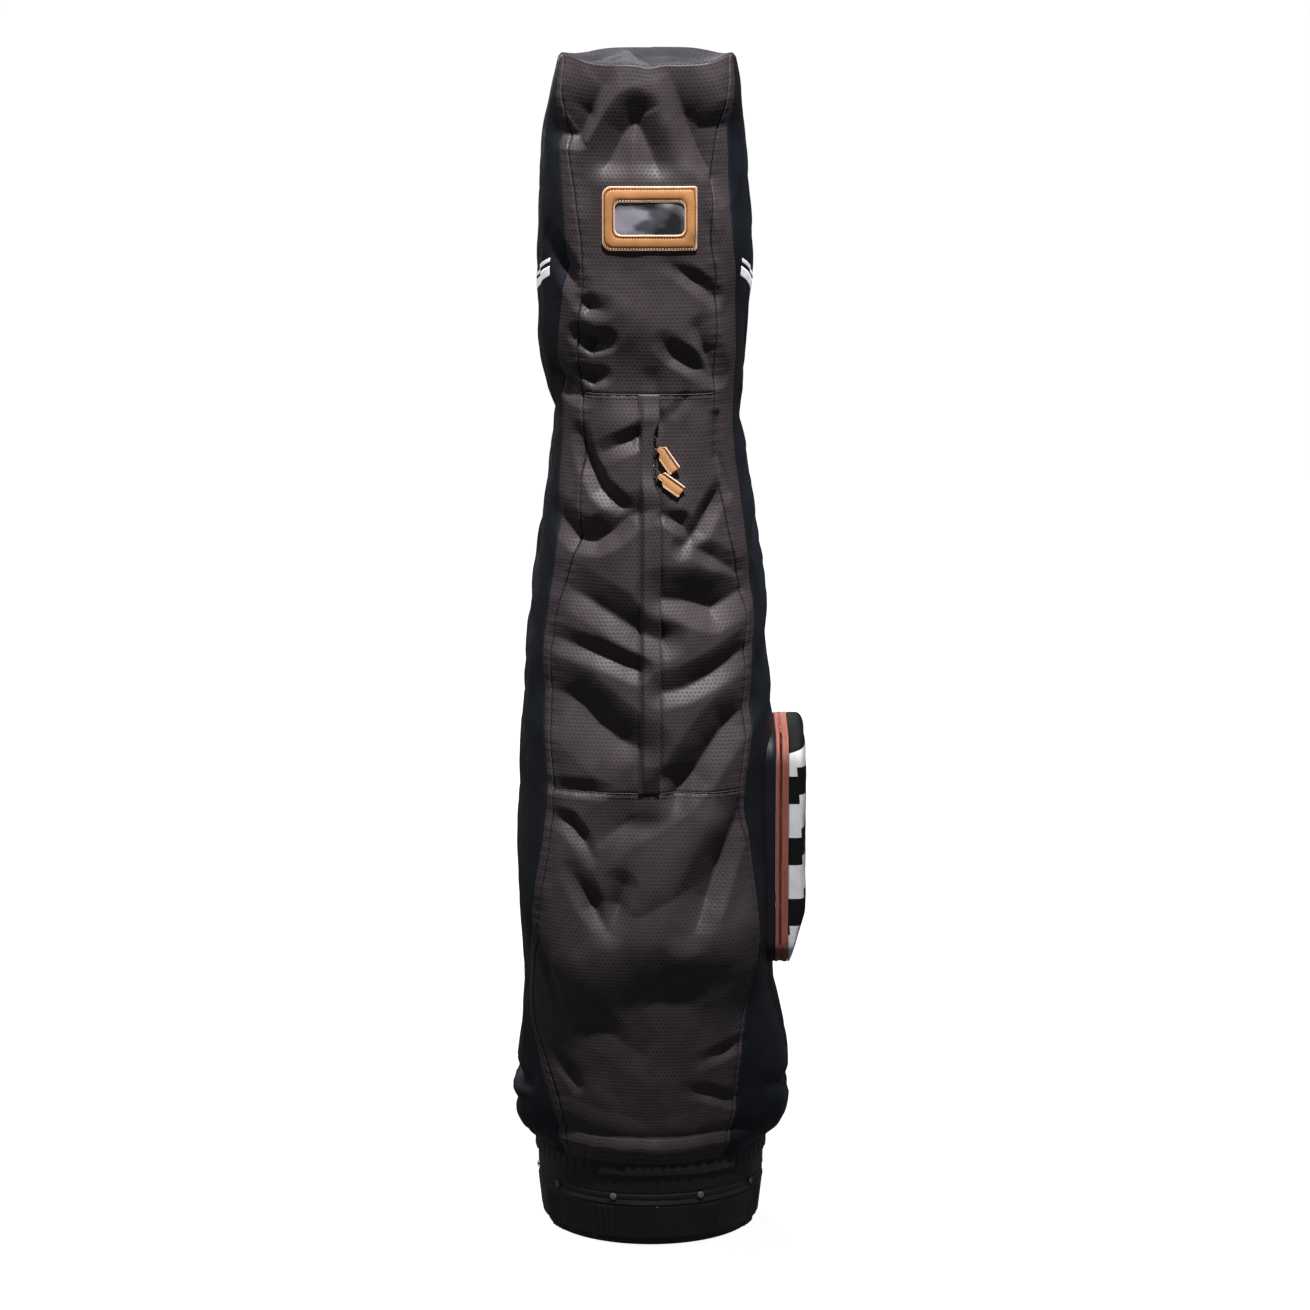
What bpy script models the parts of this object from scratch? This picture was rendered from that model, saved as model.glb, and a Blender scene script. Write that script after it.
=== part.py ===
"""A golf bag standing inside its slip-on travel cover.

The bag is a moulded base cup, a padded base band with rivets, a tapering tube and an oval top cuff
with dividers.  A telescoping pole stands in the bag and carries the crown of the cover.  The cover is
a hood of sewn panels with an elastic hem, a front zip under a storm flap, a name window and a zipped
side pocket.  Units are metres, +Z is up, the front faces -Y and the origin is the middle of the
base's underside.
"""

import math

import bmesh
import bpy
from mathutils import Matrix, Vector

# ---------------------------------------------------------------- driving dimensions
TOTAL_HEIGHT = 1.274
GAP = 0.0003  # clearance between pieces that touch

BASE_YAW = math.radians(3.5)  # the bag is turned this much inside its cover
CUP_BOTTOM_R = 0.1180
CUP_TOP_R = 0.1220
CUP_HEIGHT = 0.0455
CUP_FLOOR = 0.0060
BAND_R = 0.1225
BAND_BOTTOM, BAND_TOP = 0.0460, 0.1120
TUBE_R = 0.1120  # round where it enters the cup
TUBE_WALL = 0.0025
TUBE_TOP = 0.8000
MOUTH_HALF_WIDTH, MOUTH_HALF_DEPTH = 0.0970, 0.1080  # oval at the cuff
CUFF_BOTTOM, CUFF_TOP = 0.7900, 0.8500
CUFF_WALL = 0.0120
RIVET_ANGLES = (22.5, 58.5, 94.5, 130.5)  # degrees each side of the bag's front seam
RIVET_R, RIVET_HEIGHT = 0.0038, 0.0555
RIB_COUNT, RIB_PITCH, RIB_HEIGHT = 4, math.radians(3.3), 0.0011

POLE_OUTER_R, POLE_INNER_R = 0.0110, 0.0080
POLE_FOOT, POLE_SPLIT = 0.0070, 0.7600
POLE_HEAD_TOP, POLE_HEAD_R = 1.2420, 0.0480

FABRIC = 0.0020  # thickness of a cover panel
HEM_R, HEM_INNER_R = 0.1262, 0.1236
HEM_BOTTOM, HEM_TOP = 0.0800, 0.0960
COVER_BOTTOM, COVER_TOP = 0.0963, 1.2620
SEAM_LOW, SEAM_HIGH = 0.5050, 0.9250  # the two cross seams, which end the front zip
ZIP_LOW_DEPTH, ZIP_HIGH_DEPTH = 0.1400, 0.1120  # half-depth of the cover at those seams

# The cover's cross-section at each height: half-width to its left and to its right, half-depth, and
# the superellipse exponent that makes it round (2) or boxy (over 3).
COVER_SECTIONS = (
    # height, left, right, depth, exponent
    (0.0963, 0.1270, 0.1270, 0.1270, 2.00),
    (0.1080, 0.1410, 0.1410, 0.1400, 2.05),
    (0.1250, 0.1480, 0.1490, 0.1470, 2.15),
    (0.1500, 0.1500, 0.1515, 0.1490, 2.30),
    (0.2000, 0.1425, 0.1480, 0.1480, 2.60),
    (0.2650, 0.1380, 0.1350, 0.1460, 2.90),
    (0.3300, 0.1410, 0.1305, 0.1458, 3.00),
    (0.4000, 0.1440, 0.1300, 0.1450, 3.00),
    (0.4500, 0.1430, 0.1300, 0.1437, 3.00),
    (0.5050, 0.1413, 0.1300, 0.1400, 3.00),
    (0.5650, 0.1400, 0.1315, 0.1360, 3.00),
    (0.6300, 0.1350, 0.1265, 0.1317, 2.95),
    (0.7000, 0.1290, 0.1235, 0.1270, 2.90),
    (0.7600, 0.1205, 0.1165, 0.1230, 2.85),
    (0.8300, 0.1105, 0.1055, 0.1183, 2.80),
    (0.8900, 0.1055, 0.1000, 0.1143, 2.80),
    (0.9250, 0.1100, 0.0995, 0.1120, 2.80),
    (0.9700, 0.1190, 0.1010, 0.1110, 2.85),
    (1.0500, 0.1200, 0.1085, 0.1165, 3.00),
    (1.1200, 0.1190, 0.1060, 0.1180, 3.00),
    (1.1800, 0.1150, 0.1000, 0.1140, 3.10),
    (1.2200, 0.1090, 0.0950, 0.1090, 3.30),
    (1.2620, 0.0965, 0.0880, 0.1020, 3.60),
)
# Where the front panel's left and right seams run, as shares of the half-widths.
SEAM_SHARES = (
    # height, left, right
    (0.0963, 0.68, 0.61), (0.1500, 0.72, 0.66), (0.2000, 0.84, 0.69), (0.2450, 0.92, 0.76),
    (0.2900, 0.92, 0.81), (0.3550, 0.83, 0.82), (0.4300, 0.76, 0.80), (0.5050, 0.74, 0.74),
    (0.5700, 0.77, 0.78), (0.6500, 0.79, 0.81), (0.7100, 0.74, 0.82), (0.7700, 0.65, 0.73),
    (0.8500, 0.67, 0.69), (0.9250, 0.66, 0.66), (1.0400, 0.59, 0.63), (1.0900, 0.61, 0.59),
    (1.1770, 0.74, 0.70), (1.2470, 0.86, 0.84), (1.2620, 0.90, 0.88),
)
BACK_SEAM_SHARE = 0.72
ROWS_BELOW, ROWS_BESIDE, ROWS_ABOVE = 11, 7, 8  # below, beside and above the zip

FLAP_ROOT, FLAP_EDGE = -0.0125, 0.0110  # across the zip, from the stitched side to the free side
FLAP_UNDERSIDE, FLAP_THICKNESS = 0.0058, 0.0012
FLAP_DIP = 0.0072  # how far the pulls push the free edge back
ZIP_HALF_OPENING = 0.0055
UPPER_SLIDER_Z, UPPER_PULL_ANGLE = 0.8820, math.radians(-55)
LOWER_SLIDER_Z, LOWER_PULL_ANGLE = 0.8470, math.radians(-36)
PULL_HINGE_X = 0.0085  # just outside the storm flap

WINDOW_CENTRE = (-0.0008, 1.1095)
WINDOW_FRAME = (0.0960, 0.0650)
WINDOW_PANE = (0.0730, 0.0350)

POCKET_CENTRE_Z = 0.4255
POCKET_HALF_WIDTH, POCKET_HALF_HEIGHT = 0.0790, 0.1255
POCKET_CORNER = 0.0280
POCKET_ZIP_X = 0.1388  # the plane where the zip parts
POCKET_RIM_X, POCKET_FACE_X = 0.1473, 0.1665
POCKET_WALL = 0.0018
POCKET_SLIDER_Z = 0.3350

MATERIALS = {
    "honeycomb_nylon": ((0.040, 0.034, 0.038), 0.50, 0.0),
    "side_nylon": ((0.012, 0.014, 0.018), 0.55, 0.0),
    "striped_canvas": ((0.60, 0.60, 0.62), 0.80, 0.0),
    "tan_leather": ((0.42, 0.20, 0.08), 0.50, 0.0),
    "black_leather": ((0.012, 0.012, 0.014), 0.55, 0.0),
    "moulded_black": ((0.010, 0.011, 0.012), 0.45, 0.0),
    "rust_tape": ((0.30, 0.08, 0.045), 0.65, 0.0),
    "black_tape": ((0.010, 0.010, 0.011), 0.75, 0.0),
    "zip_metal": ((0.45, 0.45, 0.46), 0.30, 1.0),
    "clear_vinyl": ((0.55, 0.56, 0.60), 0.12, 0.0),
    "elastic": ((0.010, 0.010, 0.011), 0.80, 0.0),
    "bag_fabric": ((0.020, 0.020, 0.022), 0.70, 0.0),
    "aluminium_tube": ((0.60, 0.61, 0.62), 0.35, 1.0),
}


# ---------------------------------------------------------------- helpers
def clear_scene():
    for obj in list(bpy.data.objects):
        bpy.data.objects.remove(obj, do_unlink=True)


def material(name):
    found = bpy.data.materials.get(name)
    if found:
        return found
    colour, roughness, metallic = MATERIALS[name]
    made = bpy.data.materials.new(name)
    made.use_nodes = True
    shader = made.node_tree.nodes["Principled BSDF"]
    shader.inputs["Base Color"].default_value = (*colour, 1.0)
    shader.inputs["Roughness"].default_value = roughness
    shader.inputs["Metallic"].default_value = metallic
    return made


def add_object(name, bm, material_name, smooth=True):
    """Turns a finished bmesh into a named object with outward normals."""
    bmesh.ops.recalc_face_normals(bm, faces=bm.faces)
    mesh = bpy.data.meshes.new(name)
    bm.to_mesh(mesh)
    bm.free()
    obj = bpy.data.objects.new(name, mesh)
    bpy.context.scene.collection.objects.link(obj)
    mesh.materials.append(material(material_name))
    if smooth:
        mesh.shade_smooth()
        mesh.set_sharp_from_angle(angle=math.radians(35))
    return obj


def blend(table, height, column):
    """Smooth value of one column of a table of rows sorted by height, by cubic Hermite pieces."""
    rows = table
    if height <= rows[0][0]:
        return rows[0][column]
    if height >= rows[-1][0]:
        return rows[-1][column]
    i = max(k for k in range(len(rows) - 1) if rows[k][0] <= height)

    def slope(k):
        low, high = max(k - 1, 0), min(k + 1, len(rows) - 1)
        return (rows[high][column] - rows[low][column]) / (rows[high][0] - rows[low][0])

    span = rows[i + 1][0] - rows[i][0]
    t = (height - rows[i][0]) / span
    start, end = rows[i][column], rows[i + 1][column]
    return (
        (2 * t**3 - 3 * t**2 + 1) * start
        + (t**3 - 2 * t**2 + t) * span * slope(i)
        + (3 * t**2 - 2 * t**3) * end
        + (t**3 - t**2) * span * slope(i + 1)
    )


def zip_depth(height):
    """The front centre line is straight over the zip, so that a slider can run along it."""
    share = (height - SEAM_LOW) / (SEAM_HIGH - SEAM_LOW)
    return ZIP_LOW_DEPTH + share * (ZIP_HIGH_DEPTH - ZIP_LOW_DEPTH)


def half_depth(height):
    if SEAM_LOW <= height <= SEAM_HIGH:
        return zip_depth(height)
    return blend(COVER_SECTIONS, height, 3)


def half_width(height, right):
    return blend(COVER_SECTIONS, height, 2 if right else 1)


def cover_point(angle, height):
    """A point on the cover's outer surface. The angle is 0 at the front and grows to the right."""
    across, along = math.sin(angle), -math.cos(angle)
    width, depth = half_width(height, across > 0), half_depth(height)
    power = blend(COVER_SECTIONS, height, 4)
    reach = ((abs(across) / width) ** power + (abs(along) / depth) ** power) ** (-1 / power)
    return Vector((reach * across, reach * along, height))


def cover_normal(angle, height):
    step_a, step_z = 0.01, 0.002
    low, high = max(height - step_z, COVER_BOTTOM), min(height + step_z, COVER_TOP)
    round_it = cover_point(angle + step_a, height) - cover_point(angle - step_a, height)
    up_it = cover_point(angle, high) - cover_point(angle, low)
    return round_it.cross(up_it).normalized()


def on_cover(angle, height, offset):
    return cover_point(angle, height) + cover_normal(angle, height) * offset


def seam_angle(height, right, back=False):
    """The angle of the front or back panel's side seam at a height."""
    share = BACK_SEAM_SHARE if back else blend(SEAM_SHARES, height, 2 if right else 1)
    power = blend(COVER_SECTIONS, height, 4)
    x = share * half_width(height, right)
    y = half_depth(height) * (1 - share**power) ** (1 / power)
    angle = math.atan2(x, -y if back else y)
    return angle if right else -angle


def angle_at(x, height):
    """The angle of the front surface's point that lies at x."""
    return math.atan2(x, half_depth(height))


def slab(name, outer, inner, material_name, wrap=False, smooth=True):
    """A solid between two grids of points with the same rows and columns."""
    bm = bmesh.new()
    top = [[bm.verts.new(p) for p in row] for row in outer]
    low = [[bm.verts.new(p) for p in row] for row in inner]
    rows, columns = len(top), len(top[0])
    steps = columns if wrap else columns - 1
    for r in range(rows - 1):
        for c in range(steps):
            d = (c + 1) % columns
            bm.faces.new((top[r][c], top[r][d], top[r + 1][d], top[r + 1][c]))
            bm.faces.new((low[r][c], low[r + 1][c], low[r + 1][d], low[r][d]))
    for r in (0, rows - 1):
        for c in range(steps):
            d = (c + 1) % columns
            bm.faces.new((top[r][c], low[r][c], low[r][d], top[r][d]))
    if not wrap:
        for c in (0, columns - 1):
            for r in range(rows - 1):
                bm.faces.new((top[r][c], top[r + 1][c], low[r + 1][c], low[r][c]))
    return add_object(name, bm, material_name, smooth)


def skin(name, loops, material_name, ring=False, smooth=True):
    """A solid through closed loops of equal length. A ring joins its last loop to its first."""
    bm = bmesh.new()
    made = [[bm.verts.new(p) for p in loop] for loop in loops]
    count = len(made[0])
    pairs = list(zip(made, made[1:]))
    if ring:
        pairs.append((made[-1], made[0]))
    for first, second in pairs:
        for c in range(count):
            d = (c + 1) % count
            bm.faces.new((first[c], first[d], second[d], second[c]))
    if not ring:
        bm.faces.new(made[0])
        bm.faces.new(made[-1])
    return add_object(name, bm, material_name, smooth)


def circle(radius, height, count=48, centre=(0.0, 0.0)):
    return [
        Vector((
            centre[0] + radius * math.sin(math.tau * k / count),
            centre[1] - radius * math.cos(math.tau * k / count),
            height,
        ))
        for k in range(count)
    ]


def turned(name, profile, material_name, count=48, centre=(0.0, 0.0), ring=False):
    """A turned piece about a vertical line, from (radius, height) points."""
    loops = [circle(r, z, count, centre) for r, z in profile]
    return skin(name, loops, material_name, ring)


def box_mesh(bm, low, high):
    made = bmesh.ops.create_cube(bm, size=1.0)["verts"]
    size = Vector(high) - Vector(low)
    middle = (Vector(high) + Vector(low)) / 2
    for v in made:
        v.co = Vector((v.co.x * size.x, v.co.y * size.y, v.co.z * size.z)) + middle
    return made


def box(name, low, high, material_name, frame=None, bevel=0.0):
    bm = bmesh.new()
    box_mesh(bm, low, high)
    if bevel:
        bmesh.ops.bevel(bm, geom=list(bm.edges), offset=bevel, segments=1, affect="EDGES")
    if frame:
        bm.transform(frame)
    return add_object(name, bm, material_name, smooth=False)


def boolean(obj, cutter, operation):
    """Applies a Boolean to obj and removes the cutter."""
    modifier = obj.modifiers.new(operation.title(), "BOOLEAN")
    modifier.operation = operation
    modifier.object = cutter
    modifier.solver = "EXACT"
    graph = bpy.context.evaluated_depsgraph_get()
    mesh = bpy.data.meshes.new_from_object(obj.evaluated_get(graph))
    obj.modifiers.clear()
    obj.data = mesh
    bpy.data.objects.remove(cutter, do_unlink=True)
    return obj


def frame_of(origin, across, along, out):
    """A matrix whose columns are the local X, Y and Z directions and the origin."""
    return Matrix((
        (across.x, along.x, out.x, origin.x),
        (across.y, along.y, out.y, origin.y),
        (across.z, along.z, out.z, origin.z),
        (0, 0, 0, 1),
    ))


def rounded_rectangle(half_width_, half_height, corner, inset=0.0, per_corner=5):
    """Points of a rounded rectangle, counter-clockwise from its lower right, as (across, up)."""
    radius = max(corner - inset, 0.002)
    w, h = half_width_ - inset - radius, half_height - inset - radius
    points = []
    for k, (cx, cy) in enumerate(((w, -h), (w, h), (-w, h), (-w, -h))):
        for step in range(per_corner):
            a = math.radians(-90 + 90 * k + 90 * step / (per_corner - 1))
            points.append((cx + radius * math.cos(a), cy + radius * math.sin(a)))
    return points


# ---------------------------------------------------------------- the bag inside
def rib_columns():
    """Angles round the base cup with the extra radius there: plain wall, with ribs beside each rivet."""
    columns = []
    for side in (-1, 1):
        for angle in RIVET_ANGLES:
            start = math.radians(angle)
            for rib in range(RIB_COUNT):
                middle = start + RIB_PITCH * (rib + 0.5)
                for offset, rise in ((-0.36, 0), (-0.2, 1), (0.2, 1), (0.36, 0)):
                    columns.append((side * (middle + offset * RIB_PITCH), rise))
    for plain in range(-176, 184, 8):
        angle = math.radians(plain)
        if all(abs(angle - a) > math.radians(2.5) for a, _ in columns):
            columns.append((angle, 0))
    return sorted(columns)


def base_cup():
    columns = rib_columns()
    levels = (
        (CUP_BOTTOM_R - 0.0040, 0.0, 0), (CUP_BOTTOM_R, 0.0040, 0), (CUP_BOTTOM_R + 0.0008, 0.0080, 0),
        (CUP_BOTTOM_R + 0.0010, 0.0095, 1), (CUP_TOP_R - 0.0006, 0.0420, 1),
        (CUP_TOP_R - 0.0004, 0.0435, 0), (CUP_TOP_R, CUP_HEIGHT, 0),
        (TUBE_R + 0.0006, CUP_HEIGHT, 0), (TUBE_R + 0.0006, CUP_FLOOR, 0),
    )
    loops = [
        [
            Vector((
                (r + ribbed * rise * RIB_HEIGHT) * math.sin(a + BASE_YAW),
                -(r + ribbed * rise * RIB_HEIGHT) * math.cos(a + BASE_YAW),
                z,
            ))
            for a, rise in columns
        ]
        for r, z, ribbed in levels
    ]
    return skin("base_cup", loops, "moulded_black")


def rivet_places():
    for k, angle in enumerate(RIVET_ANGLES):
        yield f"rivet_right_{k + 1}", math.radians(angle) + BASE_YAW
        yield f"rivet_left_{k + 1}", -math.radians(angle) + BASE_YAW
    yield "rivet_back", math.pi + BASE_YAW


def rivet_frame(angle, height=RIVET_HEIGHT):
    out = Vector((math.sin(angle), -math.cos(angle), 0))
    across = Vector((math.cos(angle), math.sin(angle), 0))
    return frame_of(out * BAND_R + Vector((0, 0, height)), across, Vector((0, 0, 1)), out)


def shaft_loops(profile, count=12):
    return [
        [Vector((r * math.cos(math.tau * k / count), r * math.sin(math.tau * k / count), z))
         for k in range(count)]
        for r, z in profile
    ]


def base_band():
    """The padded collar above the cup, with a hole for each rivet's shank."""
    band = turned(
        "base_band",
        ((TUBE_R + 0.0006, BAND_BOTTOM), (BAND_R - 0.0010, BAND_BOTTOM), (BAND_R, BAND_BOTTOM + 0.0010),
         (BAND_R, BAND_TOP - 0.0040), (BAND_R - 0.0040, BAND_TOP), (TUBE_R + 0.0006, BAND_TOP)),
        "black_leather", 72, ring=True,
    )
    for name, angle in rivet_places():
        hole = skin("hole", shaft_loops(((0.0017, -0.0055), (0.0017, 0.0040)), 10), "black_leather")
        hole.data.transform(rivet_frame(angle))
        boolean(band, hole, "DIFFERENCE")
    return band


def rivets():
    profile = ((0.0013, -0.0048), (0.0013, 0.0006), (RIVET_R, 0.0006), (RIVET_R, 0.0011),
               (RIVET_R * 0.72, 0.0021), (RIVET_R * 0.3, 0.0025))
    for name, angle in rivet_places():
        rivet = skin(name, shaft_loops(profile, 14), "zip_metal")
        rivet.data.transform(rivet_frame(angle))


def tube_half(height, depth):
    """Half-width or half-depth of the bag's tube, round at the cup and oval at the cuff."""
    share = max(0.0, min(1.0, (height - 0.12) / (CUFF_BOTTOM - 0.12)))
    mouth = MOUTH_HALF_DEPTH if depth else MOUTH_HALF_WIDTH
    return TUBE_R + share * (mouth - TUBE_R)


def oval(height, inset, count=48):
    a, b = tube_half(height, False) - inset, tube_half(height, True) - inset
    return [
        Vector((a * math.sin(math.tau * k / count), -b * math.cos(math.tau * k / count), height))
        for k in range(count)
    ]


def bag_tube():
    heights = [CUP_FLOOR + GAP, 0.12, CUFF_BOTTOM, TUBE_TOP]
    loops = [oval(z, 0.0) for z in heights] + [oval(z, TUBE_WALL) for z in reversed(heights)]
    return skin("bag_tube", loops, "bag_fabric", ring=True)


def bag_floor():
    loops = [oval(CUP_FLOOR + GAP, TUBE_WALL + 0.0006), oval(0.0105, TUBE_WALL + 0.0006)]
    floor = skin("bag_floor_pad", loops, "bag_fabric")
    hole = turned("hole", ((POLE_OUTER_R + 0.0006, 0), (POLE_OUTER_R + 0.0006, 0.02)), "bag_fabric", 24)
    return boolean(floor, hole, "DIFFERENCE")


def top_cuff():
    """The oval collar that caps the tube, stepped inside so that it sits on the tube's edge."""
    outer = -0.0012
    profile = (
        (0.0006 * -1, CUFF_BOTTOM), (-0.0008 + outer, CUFF_BOTTOM), (outer, CUFF_BOTTOM + 0.006),
        (outer, CUFF_TOP - 0.006), (0.0040, CUFF_TOP), (CUFF_WALL - 0.004, CUFF_TOP),
        (CUFF_WALL, CUFF_TOP - 0.004), (CUFF_WALL, TUBE_TOP + GAP), (-0.0006, TUBE_TOP + GAP),
    )
    return skin("top_cuff", [oval_at_mouth(z, inset) for inset, z in profile], "moulded_black", ring=True)


def oval_at_mouth(height, inset, count=48):
    a, b = MOUTH_HALF_WIDTH - inset, MOUTH_HALF_DEPTH - inset
    return [
        Vector((a * math.sin(math.tau * k / count), -b * math.cos(math.tau * k / count), height))
        for k in range(count)
    ]


DIVIDER_X, DIVIDER_Y, DIVIDER_THICK = 0.0350, 0.0340, 0.0040
DIVIDER_BOTTOM, DIVIDER_TOP = 0.8030, 0.8440


def cuff_divider():
    """Four crossed bars that part the bag's mouth, trimmed to the cuff's inside."""
    long_x, long_y = MOUTH_HALF_WIDTH, MOUTH_HALF_DEPTH
    half = DIVIDER_THICK / 2
    z = (DIVIDER_BOTTOM, DIVIDER_TOP)
    bars = [
        ((-long_x, s * DIVIDER_Y - half, z[0]), (long_x, s * DIVIDER_Y + half, z[1])) for s in (-1, 1)
    ] + [
        ((s * DIVIDER_X - half, -DIVIDER_Y, z[0] + 0.0004), (s * DIVIDER_X + half, DIVIDER_Y, z[1] - 0.0004))
        for s in (-1, 1)
    ]
    divider = box("cuff_divider", *bars[0], "bag_fabric")
    for bar in (bars[2], bars[3], bars[1]):
        boolean(divider, box("bar", *bar, "bag_fabric"), "UNION")
    inset = CUFF_WALL + GAP * 2
    trim = skin("trim", [oval_at_mouth(0.79, inset), oval_at_mouth(0.86, inset)], "bag_fabric")
    return boolean(divider, trim, "INTERSECT")


def spine_stays():
    """The two glass-fibre rods that keep the tube stiff, one inside each side."""
    for name, side in (("stay_left", -1), ("stay_right", 1)):
        low = Vector((side * (TUBE_R - TUBE_WALL - 0.0040), 0, 0.0112))
        top_x = MOUTH_HALF_WIDTH - TUBE_WALL - 0.0120
        high = Vector((side * top_x, 0, TUBE_TOP - 0.0030))
        loops = [[p + Vector((x, y, 0)) for x, y, _ in shaft_ring(0.0030, 10)] for p in (low, high)]
        skin(name, loops, "aluminium_tube")


def shaft_ring(radius, count):
    return [
        (radius * math.cos(math.tau * k / count), radius * math.sin(math.tau * k / count), 0)
        for k in range(count)
    ]


def on_tube(angle, height, offset):
    a, b = tube_half(height, False) + offset, tube_half(height, True) + offset
    return Vector((a * math.sin(angle), -b * math.cos(angle), height))


def flat_pocket(name, middle, half_angle, low, high, depth=0.0075):
    """An empty pocket sewn on the bag's tube, thick in its middle and thin at its edges."""
    rows, columns = 9, 13
    outer, inner = [], []
    for r in range(rows):
        v = r / (rows - 1)
        z = low + (high - low) * v
        line, back = [], []
        for c in range(columns):
            u = c / (columns - 1)
            swell = min(1.0, 6 * min(u, 1 - u)) * min(1.0, 8 * min(v, 1 - v))
            angle = middle + half_angle * (2 * u - 1)
            line.append(on_tube(angle, z, 0.0016 + (depth - 0.0016) * swell))
            back.append(on_tube(angle, z, GAP * 2))
        outer.append(line)
        inner.append(back)
    return slab(name, outer, inner, "bag_fabric")


def bag_handle():
    """A flat grab strap on the back of the tube, sewn at both ends."""
    half, low, high = 0.0125, 0.46, 0.60
    heights = [low, low + 0.012, low + 0.03, (low + high) / 2, high - 0.03, high - 0.012, high]
    lift = [0.0, 0.0, 0.0024, 0.0030, 0.0024, 0.0, 0.0]
    outer, inner = [], []
    for z, rise in zip(heights, lift):
        y = tube_half(z, True) + 0.0006 + rise
        outer.append([Vector((x, y + 0.0035, z)) for x in (-half, 0, half)])
        inner.append([Vector((x, y, z)) for x in (-half, 0, half)])
    return slab("bag_handle", outer, inner, "black_leather")


def pole():
    """A telescoping pole that stands in the bag's middle well and carries the cover's crown."""
    bore = POLE_INNER_R + 0.0006
    turned("pole_lower", (
        (POLE_OUTER_R, POLE_FOOT), (POLE_OUTER_R, POLE_SPLIT), (bore, POLE_SPLIT),
        (bore, POLE_FOOT + 0.004),
    ), "aluminium_tube", 24)
    turned("pole_upper", ((POLE_INNER_R, 0.4000), (POLE_INNER_R, 1.2255)), "aluminium_tube", 24)
    grip, lip = POLE_OUTER_R + 0.0004, POLE_INNER_R + 0.0004
    turned("pole_lock_collar", (
        (grip, 0.7300), (0.0150, 0.7310), (0.0165, 0.7400), (0.0165, 0.7640), (0.0150, 0.7740),
        (lip, 0.7750), (lip, POLE_SPLIT + 0.0004), (grip, POLE_SPLIT + 0.0004),
    ), "moulded_black", 24, ring=True)
    turned("pole_head", (
        (lip, 1.2260), (lip, 1.2000), (0.0130, 1.2000), (0.0150, 1.2120), (POLE_HEAD_R * 0.72, 1.2220),
        (POLE_HEAD_R, 1.2310), (POLE_HEAD_R * 0.94, 1.2370), (POLE_HEAD_R * 0.62, POLE_HEAD_TOP),
        (0.0100, POLE_HEAD_TOP + 0.0006),
    ), "moulded_black", 32)


# ---------------------------------------------------------------- the cover's panels
def levels(low, high, count):
    return [low + (high - low) * k / (count - 1) for k in range(count)]


BELOW = levels(COVER_BOTTOM, SEAM_LOW, ROWS_BELOW)
BESIDE = levels(SEAM_LOW, SEAM_HIGH, ROWS_BESIDE)
ABOVE = levels(SEAM_HIGH, COVER_TOP, ROWS_ABOVE)


def panel(name, heights, edges, material_name, columns=9, outside=0.0, inside=-FABRIC):
    """A fabric panel between two seam lines. edges(height) gives its two angles."""
    outer, inner = [], []
    for z in heights:
        start, end = edges(z)
        angles = [start + (end - start) * c / (columns - 1) for c in range(columns)]
        outer.append([on_cover(a, z, outside) for a in angles])
        inner.append([on_cover(a, z, inside) for a in angles])
    return slab(name, outer, inner, material_name)


def trimmed(heights, bottom_gap, top_gap):
    made = list(heights)
    made[0] += bottom_gap
    made[-1] -= top_gap
    return made


def cover_panels():
    seam_gap = 0.0016  # radians, about 0.2 mm each side of a seam

    def front(z):
        return seam_angle(z, False) + seam_gap, seam_angle(z, True) - seam_gap

    def front_left(z):
        return seam_angle(z, False) + seam_gap, angle_at(-ZIP_HALF_OPENING, z)

    def front_right(z):
        return angle_at(ZIP_HALF_OPENING, z), seam_angle(z, True) - seam_gap

    def side(right):
        sign = 1 if right else -1

        def edges(z):
            near, far = seam_angle(z, right), seam_angle(z, right, back=True)
            return near + sign * seam_gap, far - sign * seam_gap

        return edges

    def back(z):
        start = seam_angle(z, True, back=True) + seam_gap
        return start, math.tau + seam_angle(z, False, back=True) - seam_gap

    half = GAP / 2
    whole = BELOW + BESIDE[1:] + ABOVE[1:]
    panel("cover_front_lower", trimmed(BELOW, 0, half), front, "honeycomb_nylon", 11)
    panel("cover_front_left", trimmed(BESIDE, half, half), front_left, "honeycomb_nylon", 6)
    panel("cover_front_right", trimmed(BESIDE, half, half), front_right, "honeycomb_nylon", 6)
    panel("cover_front_upper", trimmed(ABOVE, half, 0), front, "honeycomb_nylon", 11)
    panel("cover_side_left", whole, side(False), "side_nylon", 9)
    panel("cover_side_right", whole, side(True), "side_nylon", 9)
    panel("cover_back", whole, back, "side_nylon", 11)


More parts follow.
